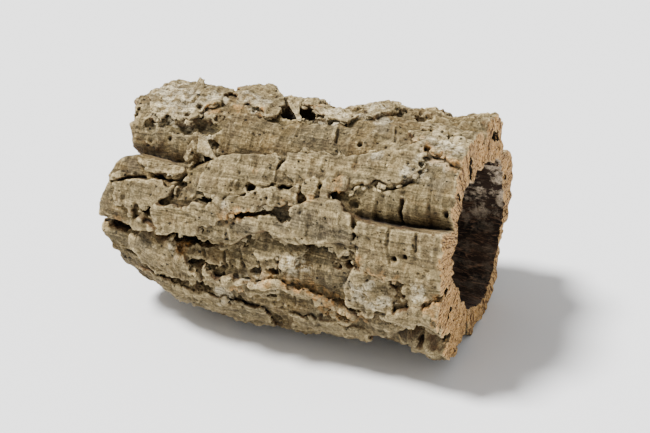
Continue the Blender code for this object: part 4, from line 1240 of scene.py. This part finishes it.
def bark_material():
    """Grey-tan bark: growth lines, wrinkles, pores, painted shade in holes and creases, crests lighter by
    pale weathering and painted highlight, and orange breaks.
    """
    paint = Paint("bark", 0.9, BARK_GREY)
    patches, blots, mottle, grit, lines, bands, wrinkles = paint.noises((
        ("object", (30, 24, 24), 3), ("object", (11, 9, 9), 4, 0.6), ("object", (4, 4, 4), 4, 0.65),
        ("object", (1.2, 1.2, 1.2), 3, 0.7), ("along", (30, 1.3, 1.3), 3, 0.65, 0.3),
        ("along", (34, 4.5, 4.5), 3, 0.6, 0.5), ("along", (2.6, 30, 30), 3, 0.65, 0.8)))
    calm = paint.ranged(paint.value("rough"), 0.9, 0.4)

    paint.lay(paint.ranged(patches, 0.42, 0.58), BARK_TAN)
    paint.lay(paint.ranged(mottle, 0.49, 0.66), BARK_PALE)
    plate = paint.most(paint.value("plate"), paint.value("light"))
    plate = paint.times(plate, paint.ranged(mottle, 0.36, 0.56, 0.25, 0.75))
    paint.lay(plate, BARK_PLATE)
    sunk = paint.ranged(paint.value("sunk"), 2.0, 9.0)
    olive = paint.times(sunk, paint.ranged(patches, 0.4, 0.55, 0.2, 0.8))
    paint.lay(olive, BARK_OLIVE)
    paint.lay(paint.times(paint.value("grey"), 0.8), BARK_SMOOTH)
    pale = paint.times(paint.value("pale"), paint.ranged(mottle, 0.42, 0.56))
    paint.lay(pale, BARK_WHITE)
    # Crests, found by low crowding, are laid lighter: partly pale weathering, partly painted highlight.
    crest_wear_and_highlight = paint.ranged(paint.value("crowd_near"), 0.46, 0.30)
    paint.lay(paint.times(crest_wear_and_highlight, 0.7), BARK_CREST_WEAR_AND_HIGHLIGHT)
    stain = paint.ranged(blots, 0.50, 0.62)
    paint.lay(paint.times(stain, 0.45), BARK_STAIN)
    riser = paint.ranged(paint.value("riser"), 0.35, 0.85)
    rust = paint.times(riser, paint.ranged(blots, 0.44, 0.56, 0.1, 0.6))
    paint.lay(rust, BARK_RUST)
    fresh = paint.times(paint.value("orange"), paint.ranged(mottle, 0.42, 0.55))
    broken = paint.most(paint.ranged(riser, 0.0, 0.5, 0.6, 1.0), crest_wear_and_highlight)
    paint.lay(paint.times(fresh, broken), BARK_ORANGE)

    streak = paint.ranged(lines, 0.36, 0.60)
    depth = paint.ranged(calm, 0.0, 1.0, 0.80, 0.54)
    thin = paint.times(paint.ranged(wrinkles, 0.40, 0.33), paint.ranged(patches, 0.44, 0.52))
    dots = paint.most(paint.dots((4.6, 4.0, 4.0), 0.28, grit), paint.dots((2.7, 2.3, 2.3), 0.22, grit))
    # The last row is painted shade: the bark is darker towards the floor.
    shade = paint.shaded(paint.ranged(streak, 0.0, 1.0, depth, 1.15), (
        (bands, 0.38, 0.62, 0.72, 1.22), (grit, 0.38, 0.62, 0.60, 1.34), (thin, 0.0, 1.0, 1.0, 0.72),
        (dots, 0.0, 1.0, 1.0, 0.16), (paint.height(), 25.0, 75.0, 0.76, 1.0)))
    # Painted shade: holes, creases and deep furrows are laid near black where they are crowded or sunk.
    hole_shade = paint.ranged(paint.value("crowd_near"), 0.55, 0.76)
    deep_shade = paint.most(paint.ranged(paint.value("crowd_wide"), 0.60, 0.78),
                      paint.ranged(paint.value("sunk"), 6.0, 12.0))
    painted_shade = paint.most(hole_shade, deep_shade)
    shading = paint.node("ShaderNodeCombineColor", {0: shade, 1: shade, 2: shade}).outputs[0]
    paint.lay(1.0, shading, "MULTIPLY")
    paint.lay(paint.times(painted_shade, 0.95), BARK_PAINTED_SHADE)

    height = paint.piled(((lines, 0.3, 0.7, 0.0, 0.45), (grit, 0.2, 0.8, 0.0, 0.6),
                          (thin, 0.0, 1.0, 0.5, 0.0), (mottle, 0.3, 0.7, 0.0, 0.6)))
    paint.bump(paint.less(height, dots), 0.8)
    return paint.finish()


def sawn_material():
    """Sawn cork: light orange-tan with short dark specks."""
    paint = Paint("sawn_cork", 0.85, SAWN_TAN)
    patches, grit, specks, pits = paint.noises((
        ("object", (9, 9, 9), 4), ("object", (1.0, 1.0, 1.0), 3, 0.7), ("along", (2.0, 1.5, 1.5), 2, 0.6),
        ("object", (1.8, 1.8, 1.8), 2, 0.6)))
    paint.lay(paint.ranged(patches, 0.38, 0.62), SAWN_ORANGE)
    paint.lay(paint.ranged(grit, 0.45, 0.70), SAWN_PALE)
    paint.lay(paint.ranged(specks, 0.53, 0.59, 0.0, 0.9), SAWN_SPECK)
    paint.lay(paint.ranged(pits, 0.59, 0.63), SAWN_SPECK)
    # Painted shade: holes in the sawn end are laid dark where they are crowded.
    hole_shade = paint.ranged(paint.value("crowd_near"), 0.53, 0.70)
    paint.lay(hole_shade, SAWN_HOLE_SHADE)
    # Painted highlight: convex rims of the sawn end are laid paler.
    rim = paint.ranged(paint.value("crowd_near"), 0.40, 0.28)
    paint.lay(paint.times(rim, 0.5), SAWN_PALE)
    worn = paint.times(paint.value("worn"), paint.ranged(patches, 0.4, 0.6, 0.9, 0.6))
    paint.lay(worn, BARK_TAN)
    relief = paint.less(grit, paint.ranged(specks, 0.52, 0.66))
    paint.bump(paint.less(relief, paint.ranged(pits, 0.58, 0.66)), 0.9)
    return paint.finish()


def hollow_material():
    """Inside: dark brown, with pale grey crumbs on the upper part and lengthwise ridges below."""
    paint = Paint("hollow", 0.85, HOLLOW_BROWN)
    patches, mottle, grit, lines = paint.noises((
        ("object", (16, 12, 12), 4), ("object", (10, 9, 9), 5, 0.65), ("object", (1.4, 1.4, 1.4), 3, 0.7),
        ("along", (9, 1.8, 1.8), 4, 0.65, 1.2)))
    roof = paint.ranged(paint.height(), AXIS_HEIGHT - 30.0, AXIS_HEIGHT - 6.0)
    paint.lay(paint.ranged(patches, 0.4, 0.65), HOLLOW_DARK)
    ridge = paint.shaded(paint.ranged(lines, 0.52, 0.68), [(roof, 0.0, 1.0, 1.0, 0.3)])
    paint.lay(ridge, HOLLOW_LINE)
    dust = paint.shaded(paint.ranged(mottle, 0.46, 0.58), (
        (grit, 0.36, 0.54, 0.35, 1.0), (roof, 0.0, 1.0, 0.10, 1.0)))
    paint.lay(dust, HOLLOW_DUST)
    paint.bump(paint.plus(paint.plus(lines, mottle), grit), 1.4)
    return paint.finish()


def add_stage():
    """A plain pale floor, soft studio light, and the camera at the photo's angle."""
    scene = bpy.context.scene
    bpy.ops.mesh.primitive_plane_add(size=FLOOR_SIZE, location=(0, 0, 0))
    floor = bpy.context.object
    floor.name = "floor"
    paint = bpy.data.materials.new("pale_floor")
    paint.use_nodes = True
    shader = paint.node_tree.nodes["Principled BSDF"]
    shader.inputs["Base Color"].default_value = (*[FLOOR_WHITE] * 3, 1)
    shader.inputs["Roughness"].default_value = FLOOR_ROUGHNESS
    floor.data.materials.append(paint)
    world = bpy.data.worlds.new("studio")
    world.use_nodes = True
    world.node_tree.nodes["Background"].inputs[0].default_value = (1, 1, 1, 1)
    world.node_tree.nodes["Background"].inputs[1].default_value = STUDIO_LIGHT
    scene.world = world
    light = bpy.data.objects.new("key", bpy.data.lights.new("key", "SUN"))
    light.data.energy = SUN_LIGHT
    light.data.angle = math.radians(SUN_SPREAD)
    light.location = SUN_FROM
    light.rotation_euler = (-light.location).to_track_quat("-Z", "Y").to_euler()
    scene.collection.objects.link(light)
    azimuth = math.radians(CAMERA_AZIMUTH)
    elevation = math.radians(CAMERA_ELEVATION)
    level = math.cos(elevation)
    back = Vector((math.sin(azimuth) * level, -math.cos(azimuth) * level, math.sin(elevation)))
    target = Vector((CAMERA_TARGET[0] - CENTRE[0], CAMERA_TARGET[1] - CENTRE[1],
                     CAMERA_TARGET[2] + AXIS_HEIGHT)) * MM
    camera = bpy.data.objects.new("camera", bpy.data.cameras.new("camera"))
    camera.data.lens = LENS
    camera.data.sensor_width = SENSOR
    camera.location = target + CAMERA_DISTANCE * MM * back
    camera.rotation_euler = back.to_track_quat("Z", "Y").to_euler()
    scene.collection.objects.link(camera)
    scene.camera = camera


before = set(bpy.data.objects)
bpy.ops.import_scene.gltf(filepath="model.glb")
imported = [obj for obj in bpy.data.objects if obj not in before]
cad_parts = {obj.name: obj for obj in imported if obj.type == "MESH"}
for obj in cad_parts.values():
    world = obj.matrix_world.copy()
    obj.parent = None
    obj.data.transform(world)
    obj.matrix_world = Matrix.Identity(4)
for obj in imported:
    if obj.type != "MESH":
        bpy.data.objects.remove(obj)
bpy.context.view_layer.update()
add_stage()
maps = Maps()
finishes = (bark_material(), sawn_material(), hollow_material())
for piece in [flakes_object(maps), *shared_out(bark_object(maps))]:
    for finish in finishes:
        piece.data.materials.append(finish)
    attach(piece, "root")
    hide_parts("cork_bark_tube")
